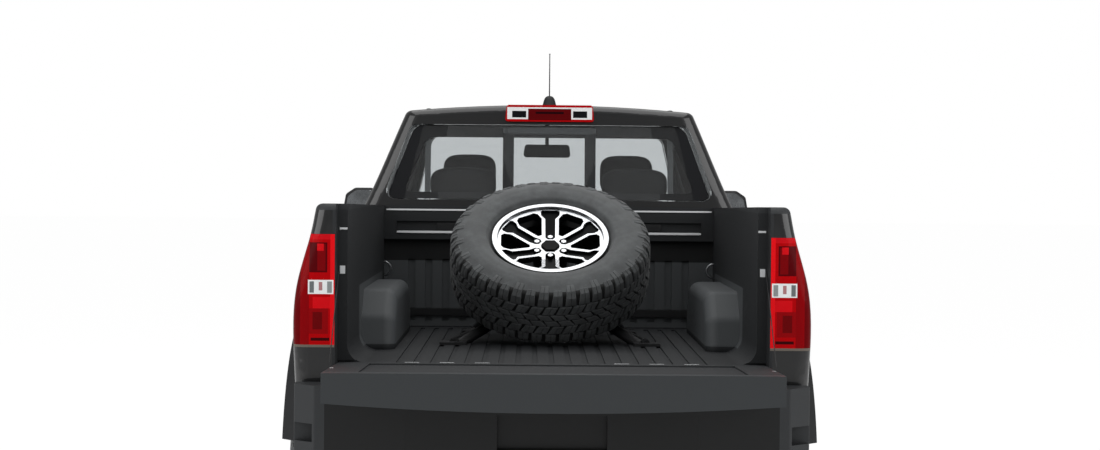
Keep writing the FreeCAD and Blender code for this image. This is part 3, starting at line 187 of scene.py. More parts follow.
def patchedFinish(name, base, roughness, patches=(), coat=0.0, rib=0.0, patchCoat=None, gloss=0.35):
    # one piece in several colours. A patch is colour, roughness, |x| from and to, z from and to, and y from and to
    # where it needs them; -0.1 takes in the middle. rib is the width in metres of an optic rib behind a lens
    material, add, where = newMaterial(
        name, Base_Color=base, Roughness=roughness, Coat_Weight=coat, Coat_Roughness=0.03, Specular_IOR_Level=gloss)
    colour, rough, covered, outputs = toLinear(base), roughness, 0.0, {}
    for shade, patchRough, *limits in patches:
        share = within(add, where, limits)
        covered = add("Math", [covered, share], operation="MAXIMUM")
        colour = add("Mix", {0: share, 6: colour, 7: toLinear(shade)}, 2, data_type="RGBA")
        rough = add("MapRange", [share, 0.0, 1.0, rough, patchRough])
        outputs = {"Base_Color": colour, "Roughness": rough}
    if patchCoat is not None:
        outputs["Coat_Weight"] = add("MapRange", [covered, 0.0, 1.0, coat, patchCoat])
    if rib:
        height = add("TexWave", {"Vector": where, "Scale": waveBand / rib}, "Fac", bands_direction="X")
        relief = (height, 0.0006, 0.45)
    else:
        height = add("TexNoise", {"Vector": where, "Scale": 1.0 / widths["mouldSkin"], "Detail": 3.0})
        relief = (height, 0.0002, 0.35)
    return feed(material, *relief, **outputs)


def clothFinish(name, hexColour):
    # Woven polyester, laid over foam: it scatters light softly
    material, add, where = newMaterial(name, Base_Color=hexColour, Roughness=0.85, Sheen_Weight=0.08)
    weft, warp = (add("TexWave", {"Vector": where, "Scale": waveBand / widths["weave"]}, "Fac", bands_direction=way)
                  for way in ("X", "Z"))
    weave = add("Math", [weft, warp], operation="MAXIMUM")
    return feed(material, weave, 0.0002, 0.4)


# The turned face lies at a depth along the axle and rises by a share of the radius past a point. Rings that are
# bright too, as radius, half width and least depth: the lip with the wall below it, and the nuts
rimFace = {
    "depth": 0.066, "risePast": 0.084, "rise": 0.24, "tolerance": 0.0009, "capRadius": 0.036,
    "rings": [(0.2145, 0.01, 0.088), (0.058, 0.016, 0.0672)], "pocketColour": "#08090a", "turnedColour": "#dfe1e4",
}


def rimFinish(name, hub, out):
    # Aluminium, cast, sprayed black, then its face turned on a lathe: bright face, lip and nuts, black pockets
    material, add, where = newMaterial(name, Specular_IOR_Level=0.06)
    arm = add("VectorMath", [where, hub], operation="SUBTRACT")
    depth = add("VectorMath", [arm, out], "Value", operation="DOT_PRODUCT")
    onAxle = add("VectorMath", {0: out, "Scale": depth}, operation="SCALE")
    flat = add("VectorMath", [arm, onAxle], operation="SUBTRACT")
    radius = add("VectorMath", [flat], "Value", operation="LENGTH")
    past = add("Math", [radius, rimFace["risePast"]], operation="SUBTRACT")
    past = add("Math", [past, 0.0], operation="MAXIMUM")
    face = add("Math", [past, rimFace["rise"], rimFace["depth"]], operation="MULTIPLY_ADD")
    turned = add("Math", [depth, face, rimFace["tolerance"]], operation="COMPARE")
    offCap = add("Math", [radius, rimFace["capRadius"]], operation="GREATER_THAN")
    bright = add("Math", [turned, offCap], operation="MULTIPLY")
    for middle, width, least in rimFace["rings"]:
        ring = add("Math", [radius, middle, width], operation="COMPARE")
        proud = add("Math", [depth, least], operation="GREATER_THAN")
        ring = add("Math", [ring, proud], operation="MULTIPLY")
        bright = add("Math", [bright, ring], operation="MAXIMUM")
    # lathe marks: height = sine of the radius
    turns = add("Math", [radius, 2.0 * math.pi / widths["latheMark"]], operation="MULTIPLY")
    marks = add("Math", [turns], operation="SINE")
    marks = add("Math", [marks, bright], operation="MULTIPLY")
    shades = {0: bright, 6: toLinear(rimFace["pocketColour"]), 7: toLinear(rimFace["turnedColour"])}
    return feed(material, marks, 0.00002, 0.5, Base_Color=add("Mix", shades, 2, data_type="RGBA"), Metallic=bright,
                Roughness=add("MapRange", [bright, 0.0, 1.0, 0.3, 0.24]))


finish = {
    "paint": paintFinish(),
    "trim": mouldedFinish("grained_polypropylene_moulded", "#17181a", 0.58, 0.0016),
    "cabin": mouldedFinish("soft_cabin_plastic_moulded", "#1e1f21", 0.68, 0.0018),
    "chassis": metalFinish("dip_coated_steel_black", "#17181a", 0.5, 0.0, 0.004, 0.0003),  # dull all over
    "cast": metalFinish("cast_iron_sand_cast", "#4b4a48", 0.7, 0.6, 0.003, 0.0008),  # rough, a brownish grey
    "steel": metalFinish("zinc_plated_steel", "#a3a5a8", 0.38, 1.0, 0.006, 0.0002),  # pale and half bright
    "mirror": metalFinish("silvered_mirror_glass", "#a9adb0", 0.08, 1.0, 0.02, 0.00001),  # a clear reflection
    "glass": glassFinish("toughened_glass_float", "#dde0e1"),
    "darkGlass": glassFinish("privacy_glass_float", "#34383a"),
    "rubber": rubberFinish("carbon_black_rubber_moulded", "#434546", "#575a5b"),
    # painted shade: the grooves' floor drawn darker than the blocks
    "groove": rubberFinish("carbon_black_rubber_painted_groove_shade", "#131414", "#1d1e1e"),
    # Acrylic, moulded in red over reflector ribs, with a clear band for the reversing light. The lens is opaque, so
    # its
    # patches paint the depth behind it: partly the lens's own reds and bands, partly painted light: a painted
    # highlight along its inner edge, darker reds as painted shade of the reflector cups, and whites and greys in the
    # clear band as painted reflection
    "lamp": patchedFinish("acrylic_lens_moulded_red", "#b3040a", 0.14, [
        ("#8a050b", 0.14, 0.812, 0.842, 0.9, 1.36),
        ("#66050a", 0.14, 0.842, 0.96, 0.9, 1.36),
        # painted highlight along the lens's inner edge
        ("#e8141c", 0.12, 0.7, 0.742, 0.9, 1.36),
        ("#c8101a", 0.12, 0.742, 0.812, 1.3, 1.33),
        ("#56040a", 0.18, 0.752, 0.812, 1.19, 1.29),
        ("#7c060c", 0.14, 0.758, 0.785, 1.196, 1.284),
        ("#d4121b", 0.14, 0.764, 0.786, 1.262, 1.286),
        ("#d61019", 0.14, 0.742, 0.8, 1.07, 1.108),
        ("#93070d", 0.16, 0.748, 0.812, 0.985, 1.07),
        ("#6c060a", 0.16, 0.768, 0.8, 1.000, 1.058),
        ("#3a0609", 0.2, 0.744, 0.806, 0.962, 0.972),
        # the clear band: its white and greys are painted reflection of the chrome behind it
        ("#eef1f1", 0.12, 0.731, 0.816, 1.118, 1.165),
        ("#8e9393", 0.12, 0.736, 0.752, 1.122, 1.16),
        ("#6f7475", 0.12, 0.796, 0.811, 1.122, 1.16),
        ("#b07d7f", 0.12, 0.768, 0.78, 1.13, 1.158),
        ("#6e675f", 0.3, 0.7, 0.96, 0.9, 0.9485),
        ("#f4f4f4", 0.12, -0.1, 0.181, 1.761, 1.812),
        ("#17181a", 0.2, 0.1, 0.16, 1.768, 1.796),
        ("#5e060a", 0.15, -0.1, 0.092, 1.757, 1.806),
        ("#21050a", 0.15, -0.1, 0.06, 1.784, 1.793),
    ], coat=0.04, rib=0.0034558, gloss=0.04),
    # Polycarbonate over a black bezel, moulded, with two bright reflector bowls and a running-light bar
    "headlamp": patchedFinish("polycarbonate_headlamp_moulded", "#1b1d1f", 0.1, [
        ("#b4babd", 0.12, 0.6, 0.69, 0.915, 0.98),
        ("#9ba1a4", 0.12, 0.715, 0.805, 0.92, 0.98),
        ("#dfe3e5", 0.15, 0.56, 0.84, 0.992, 1.003),
    ], coat=0.8, rib=0.0037699),
    # The bed: polyethylene liner moulded inside, sprayed enamel outside and below. On the liner, painted light: the
    # wheel-arch humps and the bulkhead's lower wall are painted lighter, and the band under the bulkhead's proud top
    # bar is painted darker as its shade. The strikers and the stays' upper clips are zinc-plated plates let in flush
    # with the pillars' rear faces, painted white as their glint
    "box": patchedFinish("bed_liner_moulded_in_enamelled_box", "#0a0b0d", 0.3, [
        ("#242628", 0.62, -0.1, 0.735, 0.874, 1.45, -2.4, 0.0),
        # painted light: the wheel-arch humps lighter than the liner
        ("#474a4c", 0.6, 0.55, 0.692, 0.9, 1.12, -1.85, -0.78),
        # painted light: the bulkhead's lower wall lighter than the liner
        ("#4d5052", 0.6, -0.1, 0.691, 0.884, 1.2, -0.72, -0.6),
        ("#303234", 0.6, -0.1, 0.9, 1.398, 1.45, -2.4, 0.0),
        # painted shade under the bulkhead's proud top bar
        ("#191a1b", 0.66, -0.1, 0.691, 1.16, 1.252, -0.694, -0.6),
        ("#1c1d1e", 0.66, -0.1, 0.691, 0.926, 0.96, -0.694, -0.6),
        # the plated strikers and clips, painted white as their glint
        ("#e6e8ea", 0.25, 0.7, 0.7175, 1.1825, 1.2095, -2.3025, -2.3),
        ("#e6e8ea", 0.25, 0.693, 0.719, 1.3315, 1.3385, -2.3025, -2.3),
    ], coat=1.0, patchCoat=0.0),
    # The tailgate lies open: moulded liner above, a moulded cap at its end, sprayed enamel below
    "gate": patchedFinish("tailgate_lined_and_capped", "#0b0c0d", 0.3, [
        ("#333638", 0.5, -0.1, 0.73, 0.77, 0.91, -2.9, -2.8),
        ("#27292b", 0.62, -0.1, 0.73, 0.862, 0.91, -2.8, -2.25),
        # the stay's lower clip, a plated plate painted white as its glint
        ("#e6e8ea", 0.25, 0.706, 0.7185, 0.885, 0.91, -2.622, -2.6),
    ], coat=1.0, patchCoat=0.0),
    # Pressed steel, sprayed outside; inside it a moulded lining with a cloth insert and a black armrest edge
    "door": patchedFinish("enamelled_door_with_moulded_lining", "#0a0b0d", 0.3, [
        ("#1c1d1f", 0.7, -0.1, 0.845, 0.56, 1.24),
        ("#2c2e31", 0.85, -0.1, 0.845, 0.98, 1.13),
        ("#0c0d0e", 0.4, -0.1, 0.845, 0.925, 0.955),
    ], coat=1.0, patchCoat=0.0),
    "cloth": clothFinish("woven_polyester_over_foam", "#0f1011"),
    "frit": patchedFinish("ceramic_frit_fired", "#16171a", 0.35, coat=0.2, gloss=0.2),  # an even dark band
    # a grained grey cover with a smoother black step below it; the black band is partly that step, partly painted
    # shade under the open tailgate
    "bumper": patchedFinish("grained_bumper_moulded", "#2e3032", 0.5, [("#101112", 0.4, -0.1, 0.745, 0.55, 0.775)]),
    # painted highlight: white strips laid where edges and plated parts catch the light
    "bright": patchedFinish("polished_edge_steel", "#e6e8ea", 0.25, coat=0.2),  # a thin white glint
    "black": patchedFinish("gloss_black_acrylic_moulded", "#08090a", 0.12, coat=0.6),  # deep and wet looking
    "grey": patchedFinish("satin_grey_moulded", "#55585a", 0.4, coat=0.2),  # an even mid grey
}
# a star stands for left and right
nodeFinishes = {
    "paint": ["cab_shell", "front_fenders", "hood"],
    "door": ["front_door_*", "rear_door_*"],
    "glass": ["cab_glass", "front_door_glass_*"],
    "darkGlass": ["rear_door_glass_*"],
    "trim": ["front_bumper", "grille", "arch_flares", "antenna", "fuel_tank", "door_mirror_*"],
    "headlamp": ["headlamps"], "lamp": ["rear_lamps"], "box": ["cargo_box"], "gate": ["tailgate"],
    "bumper": ["rear_bumper"],
    "cabin": ["seats", "dashboard", "steering_wheel", "cabin_mirror"],
    "chassis": ["ladder_frame", "hitch_receiver", "driveline", "front_suspension", "spare_carrier"],
    "cast": ["powertrain", "rear_axle", "knuckle_*"],
    "steel": ["rear_suspension", "exhaust", "tailgate_cables"],
    "rubber": ["spare_tyre", "front_tyre_*", "rear_tyre_*"],
}


def dress(nodeName, finishName):
    slots = nodes[nodeName].data.materials
    slots.clear()
    slots.append(finish[finishName])


for finishName, nodeNames in nodeFinishes.items():
    for nodeName in nodeNames:
        for side, _ in bothSides:
            dress(nodeName.replace("*", side), finishName)
print("finishes set")


def newPiece(name, points, faces, material, body="truck", replaced=(), crease=38.0):
    # points in metres in the truck's frame at rest; faces: (m, 4) or (m, 3) corner numbers
    points = np.asarray(points, dtype=np.float32).reshape(-1, 3)
    mesh = bpy.data.meshes.new(name)
    corners = np.asarray(faces, dtype=np.int32)
    mesh.vertices.add(len(points))
    mesh.vertices.foreach_set("co", points.ravel())
    mesh.loops.add(corners.size)
    mesh.loops.foreach_set("vertex_index", corners.ravel())
    mesh.polygons.add(len(corners))
    mesh.polygons.foreach_set("loop_start", np.arange(0, corners.size, corners.shape[1], dtype=np.int32))
    mesh.update(calc_edges=True)
    mesh.validate()
    mesh.polygons.foreach_set("use_smooth", np.ones(len(mesh.polygons), dtype=bool))
    mesh.set_sharp_from_angle(angle=math.radians(crease))
    mesh.materials.append(finish[material])
    piece = placed(name, mesh)
    if body:
        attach(piece, body)
    if replaced:
        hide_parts(*replaced)
    return piece


def gridFaces(count, rows, columns, closeRows=False, closeColumns=False):
    # corner numbers of the four-sided faces of count grids laid one after another
    k, i, j = np.meshgrid(np.arange(count), np.arange(rows if closeRows else rows - 1),
                          np.arange(columns if closeColumns else columns - 1), indexing="ij")
    low, high = ((k * rows + row) * columns for row in (i, (i + 1) % rows))
    on = (j + 1) % columns
    return np.stack([low + j, low + on, high + on, high + j], axis=-1).reshape(-1, 4)


wheels = {
    "trackHalf": 0.837, "axleHeight": 0.388, "rearBack": 3.261, "darkTo": 0.134,
    "spareLean": 56.0, "spareTurn": 30.0, "spareBack": 3.34, "spareHeight": 1.303, "spareHalf": 0.1325,
    "pitches": 46, "around": 184, "shoulder": 0.108, "shoulderGap": 0.004,
    # distances along the section and the grooves' depths there: full under the tread, none on the sidewall
    "grooves": ((0.0, 0.098, 0.118, 0.15, 0.17), (0.0095, 0.0095, 0.0045, 0.00315, 0.0)),
    "chamfer": 0.0016, "sipe": 0.0035, "skirt": 0.0008, "narrows": 0.16, "cutShare": 0.6, "cutLeast": 0.0004,
    "ringHeight": 0.0011, "rings": ((0.196, 0.0022), (0.262, 0.003)),
    # rows of blocks: from and to along the section, width, skew and offset in pitches, every, cut by a sipe
    "rows": [(0.066, 0.158, 0.76, 0.1, 0.0, 2, True), (0.066, 0.136, 0.76, 0.1, 1.0, 2, True),
             (0.028, 0.061, 0.74, 0.32, 0.45, 1, True), (0.0025, 0.0235, 0.78, -0.3, 0.1, 1, False)],
}
spareRise = math.radians(wheels["spareLean"])
spareHub = (0.0, along(wheels["spareBack"]) + wheels["spareHalf"] * math.cos(spareRise),
            wheels["spareHeight"] - wheels["spareHalf"] * math.sin(spareRise))
wheelHubs = {"spare": (spareHub, (0.0, -math.cos(spareRise), math.sin(spareRise)))}
for end, back in (("front", 0.0), ("rear", wheels["rearBack"])):
    for side, out in bothSides:
        wheelHubs[end + "_" + side] = ((out * wheels["trackHalf"], along(back), wheels["axleHeight"]), (out, 0.0, 0.0))

# Half of the tyre's outer section from the middle of the tread to the bead: radius and place along the axle
tyreSection = np.array([(388, 0), (388, 41.6), (386, 88), (379, 108), (368, 117.5), (340, 126.5), (306, 132.5),
                        (278, 131.5), (248, 122.5), (233, 99), (216, 94)]) / 1000.0
sectionLength = np.concatenate([[0.0], np.cumsum(np.hypot(*np.diff(tyreSection, axis=0).T))])


def sectionAt(run, depth):
    # point at a distance run along the section (negative = inner side), sunk by depth along its normal
    size, step = np.abs(run), 0.006
    ahead = [np.interp(size + step, sectionLength, tyreSection[:, k]) for k in (0, 1)]
    behind = [np.interp(np.abs(size - step), sectionLength, tyreSection[:, k]) for k in (0, 1)]
    behind[1] = np.where(size < step, -behind[1], behind[1])
    dr, dz = ahead[0] - behind[0], ahead[1] - behind[1]
    length = np.maximum(np.hypot(dr, dz), 1e-9)
    radius = np.interp(size, sectionLength, tyreSection[:, 0]) - depth * dz / length
    reach = np.interp(size, sectionLength, tyreSection[:, 1]) + depth * dr / length
    return radius, reach * np.where(run < 0.0, -1.0, 1.0)


def sunk(run):
    # how deep the grooves run at a distance along the section
    return np.interp(np.abs(run), *wheels["grooves"])


def wheelSurface(radius, angle, reach, hub, out):
    # polar (radius, angle) in the wheel's plane and reach along its axle, set at the hub
    axle = np.array(out)
    first = np.eye(3)[0 if abs(out[0]) < 0.5 else 1]  # any direction across the axle
    second = np.cross(axle, first)
    return (np.array(hub) + (radius * np.cos(angle))[..., None] * first + (radius * np.sin(angle))[..., None] * second
            + reach[..., None] * axle)


def treadBlocks(runFrom, runTo, width, skew, offset, every, cut):
    # one row of blocks: a grid over (u across, v around) on the section, with a chamfered rim and a skirt
    u = np.array([0.0, 0.0, 0.05, 0.35, 0.65, 0.95, 1.0, 1.0])
    v = np.array([0.0, 0.0, 0.06, 0.46, 0.485, 0.515, 0.54, 0.94, 1.0, 1.0])
    across, around = np.meshgrid(u, v, indexing="ij")
    drop = np.where((across % 1.0 == 0.0) | (around % 1.0 == 0.0), wheels["chamfer"], 0.0)
    if cut:
        drop[:, 4:6] = np.maximum(drop[:, 4:6], wheels["sipe"])
    run = runFrom + (runTo - runFrom) * across
    skirt = np.ones(run.shape, dtype=bool)
    skirt[1:-1, 1:-1] = False
    # chamfers and sipes fade out with the grooves
    most = sunk(run) * wheels["cutShare"] + wheels["cutLeast"]
    depth = np.where(skirt, sunk(run) + wheels["skirt"], np.minimum(drop, most))
    pitch = 2.0 * math.pi / wheels["pitches"]
    # blocks of the shoulder narrow outwards, the others inwards
    narrow = 1.0 - wheels["narrows"] * across * np.sign(abs(runTo) - wheels["shoulder"])
    turn = (around - 0.5) * width * narrow + skew * (across - 0.5) + offset
    starts = np.arange(wheels["pitches"] // every) * every
    radius, reach = sectionAt(run, depth)
    return radius, (starts[:, None, None] + turn[None]) * pitch, reach


def joined(parts):
    # several (points, faces) laid into one mesh
    points = [np.reshape(part[0], (-1, 3)) for part in parts]
    starts = np.cumsum([0] + [len(some) for some in points[:-1]])
    return np.concatenate(points), np.concatenate([faces + start for (_, faces), start in zip(parts, starts)])


def makeTyre(name, hub, out, body, node):
    edge, gap, around = wheels["shoulder"], wheels["shoulderGap"], wheels["around"]
    side = np.linspace(edge + gap, sectionLength[-1], 30)
    runs = np.concatenate([-side[::-1], np.linspace(gap - edge, edge - gap, 14), side])
    size = np.abs(runs)
    # the sidewall is plain apart from two moulded rings: height times exp(-((run - place) / width)^2)
    rings = wheels["ringHeight"] * sum(np.exp(-((size - place) / width) ** 2) for place, width in wheels["rings"])
    radius, reach = sectionAt(runs, sunk(runs) + rings)
    grid = wheelSurface(radius[:, None], circle(around)[None], reach[:, None], hub, out)
    parts = [(grid, gridFaces(1, len(runs), around, True, True))]
    # the carcass between the blocks is painted darker than the blocks' faces, as painted shade in the grooves
    low = np.repeat(np.maximum(size, np.roll(size, -1)) < wheels["darkTo"], around)
    for first, end, width, skew, offset, every, cut in wheels["rows"]:
        for sign in (1.0, -1.0):
            shift = offset + (0.5 if sign < 0 else 0.0)
            block = treadBlocks(sign * first, sign * end, width, sign * skew, shift, every, cut)
            block = wheelSurface(*block, hub, out)
            face = gridFaces(*block.shape[:3])
            parts.append((block, face[:, ::int(sign)]))
    points, faces = joined(parts)
    tyre = newPiece(name, points, faces, "rubber", body, (node,), crease=30.0)
    tyre.data.materials.append(finish["groove"])
    dark = np.zeros(len(faces), dtype=np.int32)
    dark[:len(low)] = low
    tyre.data.polygons.foreach_set("material_index", dark)


def makeSpareRim(hub, out):
    # the photographed spare has a nut channel at its top, half a spoke's pitch on from the solid's: the solid's
    # own form is turned about its axle by p' = p cos + (a x p) sin + a (a . p)(1 - cos)
    solid = nodes["spare_rim"].data
    points = np.empty(len(solid.vertices) * 3, dtype=np.float32)
    corners = np.empty(len(solid.loops), dtype=np.int32)
    solid.vertices.foreach_get("co", points)
    solid.loops.foreach_get("vertex_index", corners)
    points, same = np.unique(points.reshape(-1, 3).round(6), axis=0, return_inverse=True)
    axle, turn = np.array(out), math.radians(wheels["spareTurn"])
    arm = points - np.array(hub)
    onAxle = (arm @ axle)[:, None] * axle
    arm = arm * math.cos(turn) + np.cross(axle, arm) * math.sin(turn) + onAxle * (1.0 - math.cos(turn))
    newPiece("spare_rim_turned", arm + np.array(hub), same.reshape(-1)[corners].reshape(-1, 3), "spare_rim",
             replaced=("spare_rim",))


def makeWheels():
    for name, (hub, out) in wheelHubs.items():
        body, tyreNode, rimNode = "truck", "spare_tyre", "spare_rim"
        if name != "spare":
            body, tyreNode, rimNode = (name.replace("_", "_" + kind + "_") for kind in ("wheel", "tyre", "rim"))
        makeTyre(name + "_tread_tyre", hub, out, body, tyreNode)
        finish[rimNode] = rimFinish("turned_face_alloy_" + name, hub, out)
        dress(rimNode, rimNode)
    makeSpareRim(*wheelHubs["spare"])


def cubeLattice(count):
    # the skin of a cube as one closed grid: corners with whole numbers 0..count, none of them twice
    i, j = np.meshgrid(np.arange(count + 1), np.arange(count + 1), indexing="ij")
    face = gridFaces(1, count + 1, count + 1)
    points, faces = joined([(np.roll(spots(level, i, j), axis, axis=-1), face[:, ::-1] if level else face)
                            for axis in range(3) for level in (0, count)])
    unique, place = np.unique(points, axis=0, return_inverse=True)
    return unique * 2.0 / count - 1.0, place.reshape(-1)[faces][:, ::-1]


def leaned(points, degrees):
    # turned about x so that the top goes towards the back
    turn = math.radians(degrees)
    x, y, z = points.T
    return spots(x, y * math.cos(turn) - z * math.sin(turn), y * math.sin(turn) + z * math.cos(turn))


def roundedForm(centre, half, power, count, lean=0.0):
    # a box whose edges round off: each point of the cube is divided by (|x|^p + |y|^p + |z|^p)^(1/p)
    cube, faces = cubeLattice(count)
    form = cube / (np.abs(cube) ** power).sum(axis=1, keepdims=True) ** (1.0 / power)
    return leaned(form * np.array(half), lean) + np.array(centre), faces, form


def bars(name, material, boxes):
    # small mouldings: centre (x, back, z), half sizes and lean in degrees, mirrored where x isn't 0
    parts = [roundedForm((sign * x, along(back), z), half, squareEdges, 6, lean)[:2]
             for (x, back, z), half, lean in boxes for sign in ((1.0, -1.0) if x else (1.0,))]
    newPiece(name, *joined(parts), material)


def tube(path, radius, sides=12):
    # a round section carried along a path: path + radius (cos a, sin a) in the plane across it
    forward = unit(np.gradient(path, axis=0))
    helper = np.linalg.svd(path - path.mean(axis=0))[2][-1]
    first = unit(np.cross(forward, helper))
    second = np.cross(forward, first)
    angle = circle(sides)[None, :, None]
    size = np.broadcast_to(np.asarray(radius, dtype=float), (len(path),)).copy()
    size[[0, -1]] = almostClosed
    ring = path[:, None] + size[:, None, None] * (np.cos(angle) * first[:, None] + np.sin(angle) * second[:, None])
    return ring, gridFaces(1, len(path), sides, False, True)[:, ::-1]


# The back window's pane leans, and its printed band, slider rails, header and seal bead lie on it
rearGlass = {
    "sillBack": 2.5094, "sillHeight": 1.415, "slope": 0.1317, "proud": 0.0014,
    "low": 1.419, "high": 1.734, "lowHalf": 0.692, "highHalf": 0.577,
    "bandWidth": 0.052, "bandThick": 0.0008, "bandAtSides": 1.35, "bandAtFoot": 0.55,
    "outerCorner": 0.045, "innerCorner": 0.035,
    # x, how far off the pane, z, and half sizes
    "rails": ((0.175, 0.003, 1.5765), (0.0235, 0.004, 0.157)), "header": ((0.0, 0.004, 1.712), (0.198, 0.004, 0.014)),
    "beadRadius": 0.0042, "beadBeyond": 0.008, "beadCorner": 0.05, "beadOut": 0.004,
}


def paneBack(z):
    return rearGlass["sillBack"] - (z - rearGlass["sillHeight"]) * rearGlass["slope"] + rearGlass["proud"]


def roundedOutline(corners, radius, count):
    # straight edges with a curve at each corner, count points to a curve: (1 - t)^2 a + 2 t (1 - t) corner + t^2 b
    corners = np.array(corners)
    a, b = (corners + unit(np.roll(corners, shift, axis=0) - corners) * radius for shift in (1, -1))
    t = np.linspace(0.0, 1.0, count)[None, :, None]
    return ((1 - t) ** 2 * a[:, None] + 2 * t * (1 - t) * corners[:, None] + t ** 2 * b[:, None]).reshape(-1, 2)


def paneOutline(lowSide, low, highSide, high, radius, count):
    # the pane's outline moved in by these widths
    x, top = rearGlass["lowHalf"] - lowSide, rearGlass["highHalf"] - highSide
    bottomZ, topZ = rearGlass["low"] + low, rearGlass["high"] - high
    return roundedOutline([(-x, bottomZ), (x, bottomZ), (top, topZ), (-top, topZ)], radius, count)


def makeRearGlassBands():
    width, beyond = rearGlass["bandWidth"], -rearGlass["beadBeyond"]
    outer = paneOutline(0.0, 0.0, 0.0, 0.0, rearGlass["outerCorner"], 10)
    inner = paneOutline(width * rearGlass["bandAtSides"], width * rearGlass["bandAtFoot"], width, width,
                        rearGlass["innerCorner"], 10)
    t = np.linspace(0.0, 1.0, 5)[:, None, None]
    rings = outer[None] * (1 - t) + inner[None] * t
    thick = np.repeat([0.0, -rearGlass["bandThick"]], len(rings))[:, None]
    rings = np.concatenate([rings, rings[::-1]])
    points = spots(rings[..., 0], along(paneBack(rings[..., 1]) + thick), rings[..., 1])
    faces = gridFaces(1, *rings.shape[:2], True, True)[:, ::-1]
    newPiece("rear_glass_frit_band", points, faces, "frit")
    lean = -math.degrees(math.atan(rearGlass["slope"]))
    for name, material in (("rails", "frit"), ("header", "grey")):
        (x, out, z), half = rearGlass[name]
        bars("rear_slider_" + name, material, [((x, paneBack(z) + out, z), half, lean)])
    line = paneOutline(beyond, beyond, beyond, beyond, rearGlass["beadCorner"], 12)
    line = np.concatenate([line, line[:2]])
    path = spots(line[:, 0], along(paneBack(line[:, 1]) + rearGlass["beadOut"]), line[:, 1])
    newPiece("rear_glass_seal_bead", *tube(path, rearGlass["beadRadius"], 8), "grey")


seats = {
    "seamShare": 0.56, "seamDepth": 0.006, "seamWidth": 0.009, "waist": 0.03, "divisions": 26,
    "postRadius": 0.006, "postHalf": 0.05,
    # places across, back, height, half sizes, lean in degrees, roundness, sewn with channels or plain
    "pads": {
        "front_cushion": ((-0.36, 0.36), 1.395, 0.795, (0.255, 0.262, 0.082), 0.0, 5.0, True),
        "front_back": ((-0.36, 0.36), 1.762, 1.095, (0.25, 0.068, 0.325), 12.5, 5.0, True),
        "front_headrest": ((-0.36, 0.36), 1.868, 1.525, (0.124, 0.048, 0.09), 8.0, 3.6, False),
        "rear_cushion": ((-0.44, 0.0, 0.44), 2.185, 0.785, (0.218, 0.188, 0.07), 0.0, 5.0, True),
        "rear_back": ((-0.44, 0.44), 2.408, 1.075, (0.218, 0.056, 0.262), 4.0, 5.0, True),
        "rear_centre_back": ((0.0,), 2.408, 1.075, (0.218, 0.056, 0.246), 4.0, 5.0, True),
        "rear_headrest": ((-0.37, 0.37), 2.404, 1.481, (0.146, 0.036, 0.072), -8.0, 3.2, False),
        "rear_centre_headrest": ((0.0,), 2.404, 1.379, (0.108, 0.034, 0.034), -8.0, 3.2, False),
    },
    # frames: x, back, z and half sizes; posts: x and the (back, z) places each runs through
    "frames": [((x, 1.38, 0.66), (0.022, 0.22, 0.058)) for x in (-0.57, -0.15, 0.15, 0.57)]
    + [((0.0, 2.2, 0.66), (0.66, 0.15, 0.058))],
    "posts": [(x, ((1.842, 1.38), (1.855, 1.43), (1.865, 1.5))) for x in (-0.36, 0.36)]
    + [(x, ((2.425, 1.31), (2.42, 1.35), (2.41, top))) for x, top in ((-0.37, 1.44), (0.37, 1.44), (0.0, 1.365))],
}


def makeSeats():
    for kind, (places, back, height, half, lean, power, sewn) in seats["pads"].items():
        for place in places:
            points, faces, form = roundedForm((0.0, 0.0, 0.0), half, power, seats["divisions"])
            if sewn:  # depth of a channel = 6 mm times exp(-((x - seam) / 9 mm)^2)
                seam = (np.abs(form[:, 0]) - seats["seamShare"]) * half[0] / seats["seamWidth"]
                groove = seats["seamDepth"] * np.exp(-seam ** 2)
                points *= (1.0 - groove / np.linalg.norm(points, axis=1))[:, None]
            # the sides pull in between the corners: x times 1 - 3 % of (1 - z^2)
            points[:, 0] *= 1.0 - seats["waist"] * (1.0 - form[:, 2] ** 2)
            points = leaned(points, lean) + np.array((place, along(back), height))
            side = "left" if place < 0 else "right" if place > 0 else "middle"
            pad = newPiece(kind + "_pad_" + side, points, faces, "cloth", crease=60.0)
    parts = [roundedForm((x, along(back), z), half, squareEdges, 8)[:2] for (x, back, z), half in seats["frames"]]
    for x, places in seats["posts"]:
        for shift in (-seats["postHalf"], seats["postHalf"]):
            back, z = np.array(places).T
            parts.append(tube(spots(x + shift, along(back), z), seats["postRadius"]))
    newPiece("seat_frames_and_posts", *joined(parts), "cabin", replaced=("seats",))


def skinLine(node, points, direction, lift=0.0):
    # a path of points carried onto a node's skin along a direction, then lifted off it
    direction = Vector(direction)
    found = [nodes[node].ray_cast(Vector(point), direction) for point in points]
    return np.array([place if hit else point for (hit, place, _, _), point in zip(found, points)]) \
        - np.array(direction) * lift


# Small parts of the bed: material, then centre (x, back, z), half sizes and lean, mirrored to the other side
bedFittings = {
    # painted highlights: thin white bars on the top bar's upper edge and the recess's lower ledge
    "bulkhead_edge_highlights": ("bright", [((0.412, 2.6685, 1.3735), (0.27, 0.0025, 0.0034), 0.0),
                                         ((0.412, 2.669, 1.2805), (0.226, 0.003, 0.0048), 0.0)]),
    # small strips at the floor's end, white as painted highlights
    "floor_end_highlight_strips": ("bright", [((x, 4.222, 0.8804), (0.025, 0.0035, 0.002), 0.0) for x in (0.237, 0.356, 0.475)]),
    "bulkhead_latch": ("trim", [((0.43, 2.6605, 1.3045), (0.04, 0.005, 0.0155), 0.0)]),
    "bulkhead_strap": ("trim", [((0.0, 2.6455, 0.943), (0.64, 0.003, 0.016), 0.0)]),
}
tieDownHooks = {"place": (0.688, 2.76, 1.13), "reach": 0.034, "half": 0.03, "wire": 0.0045}


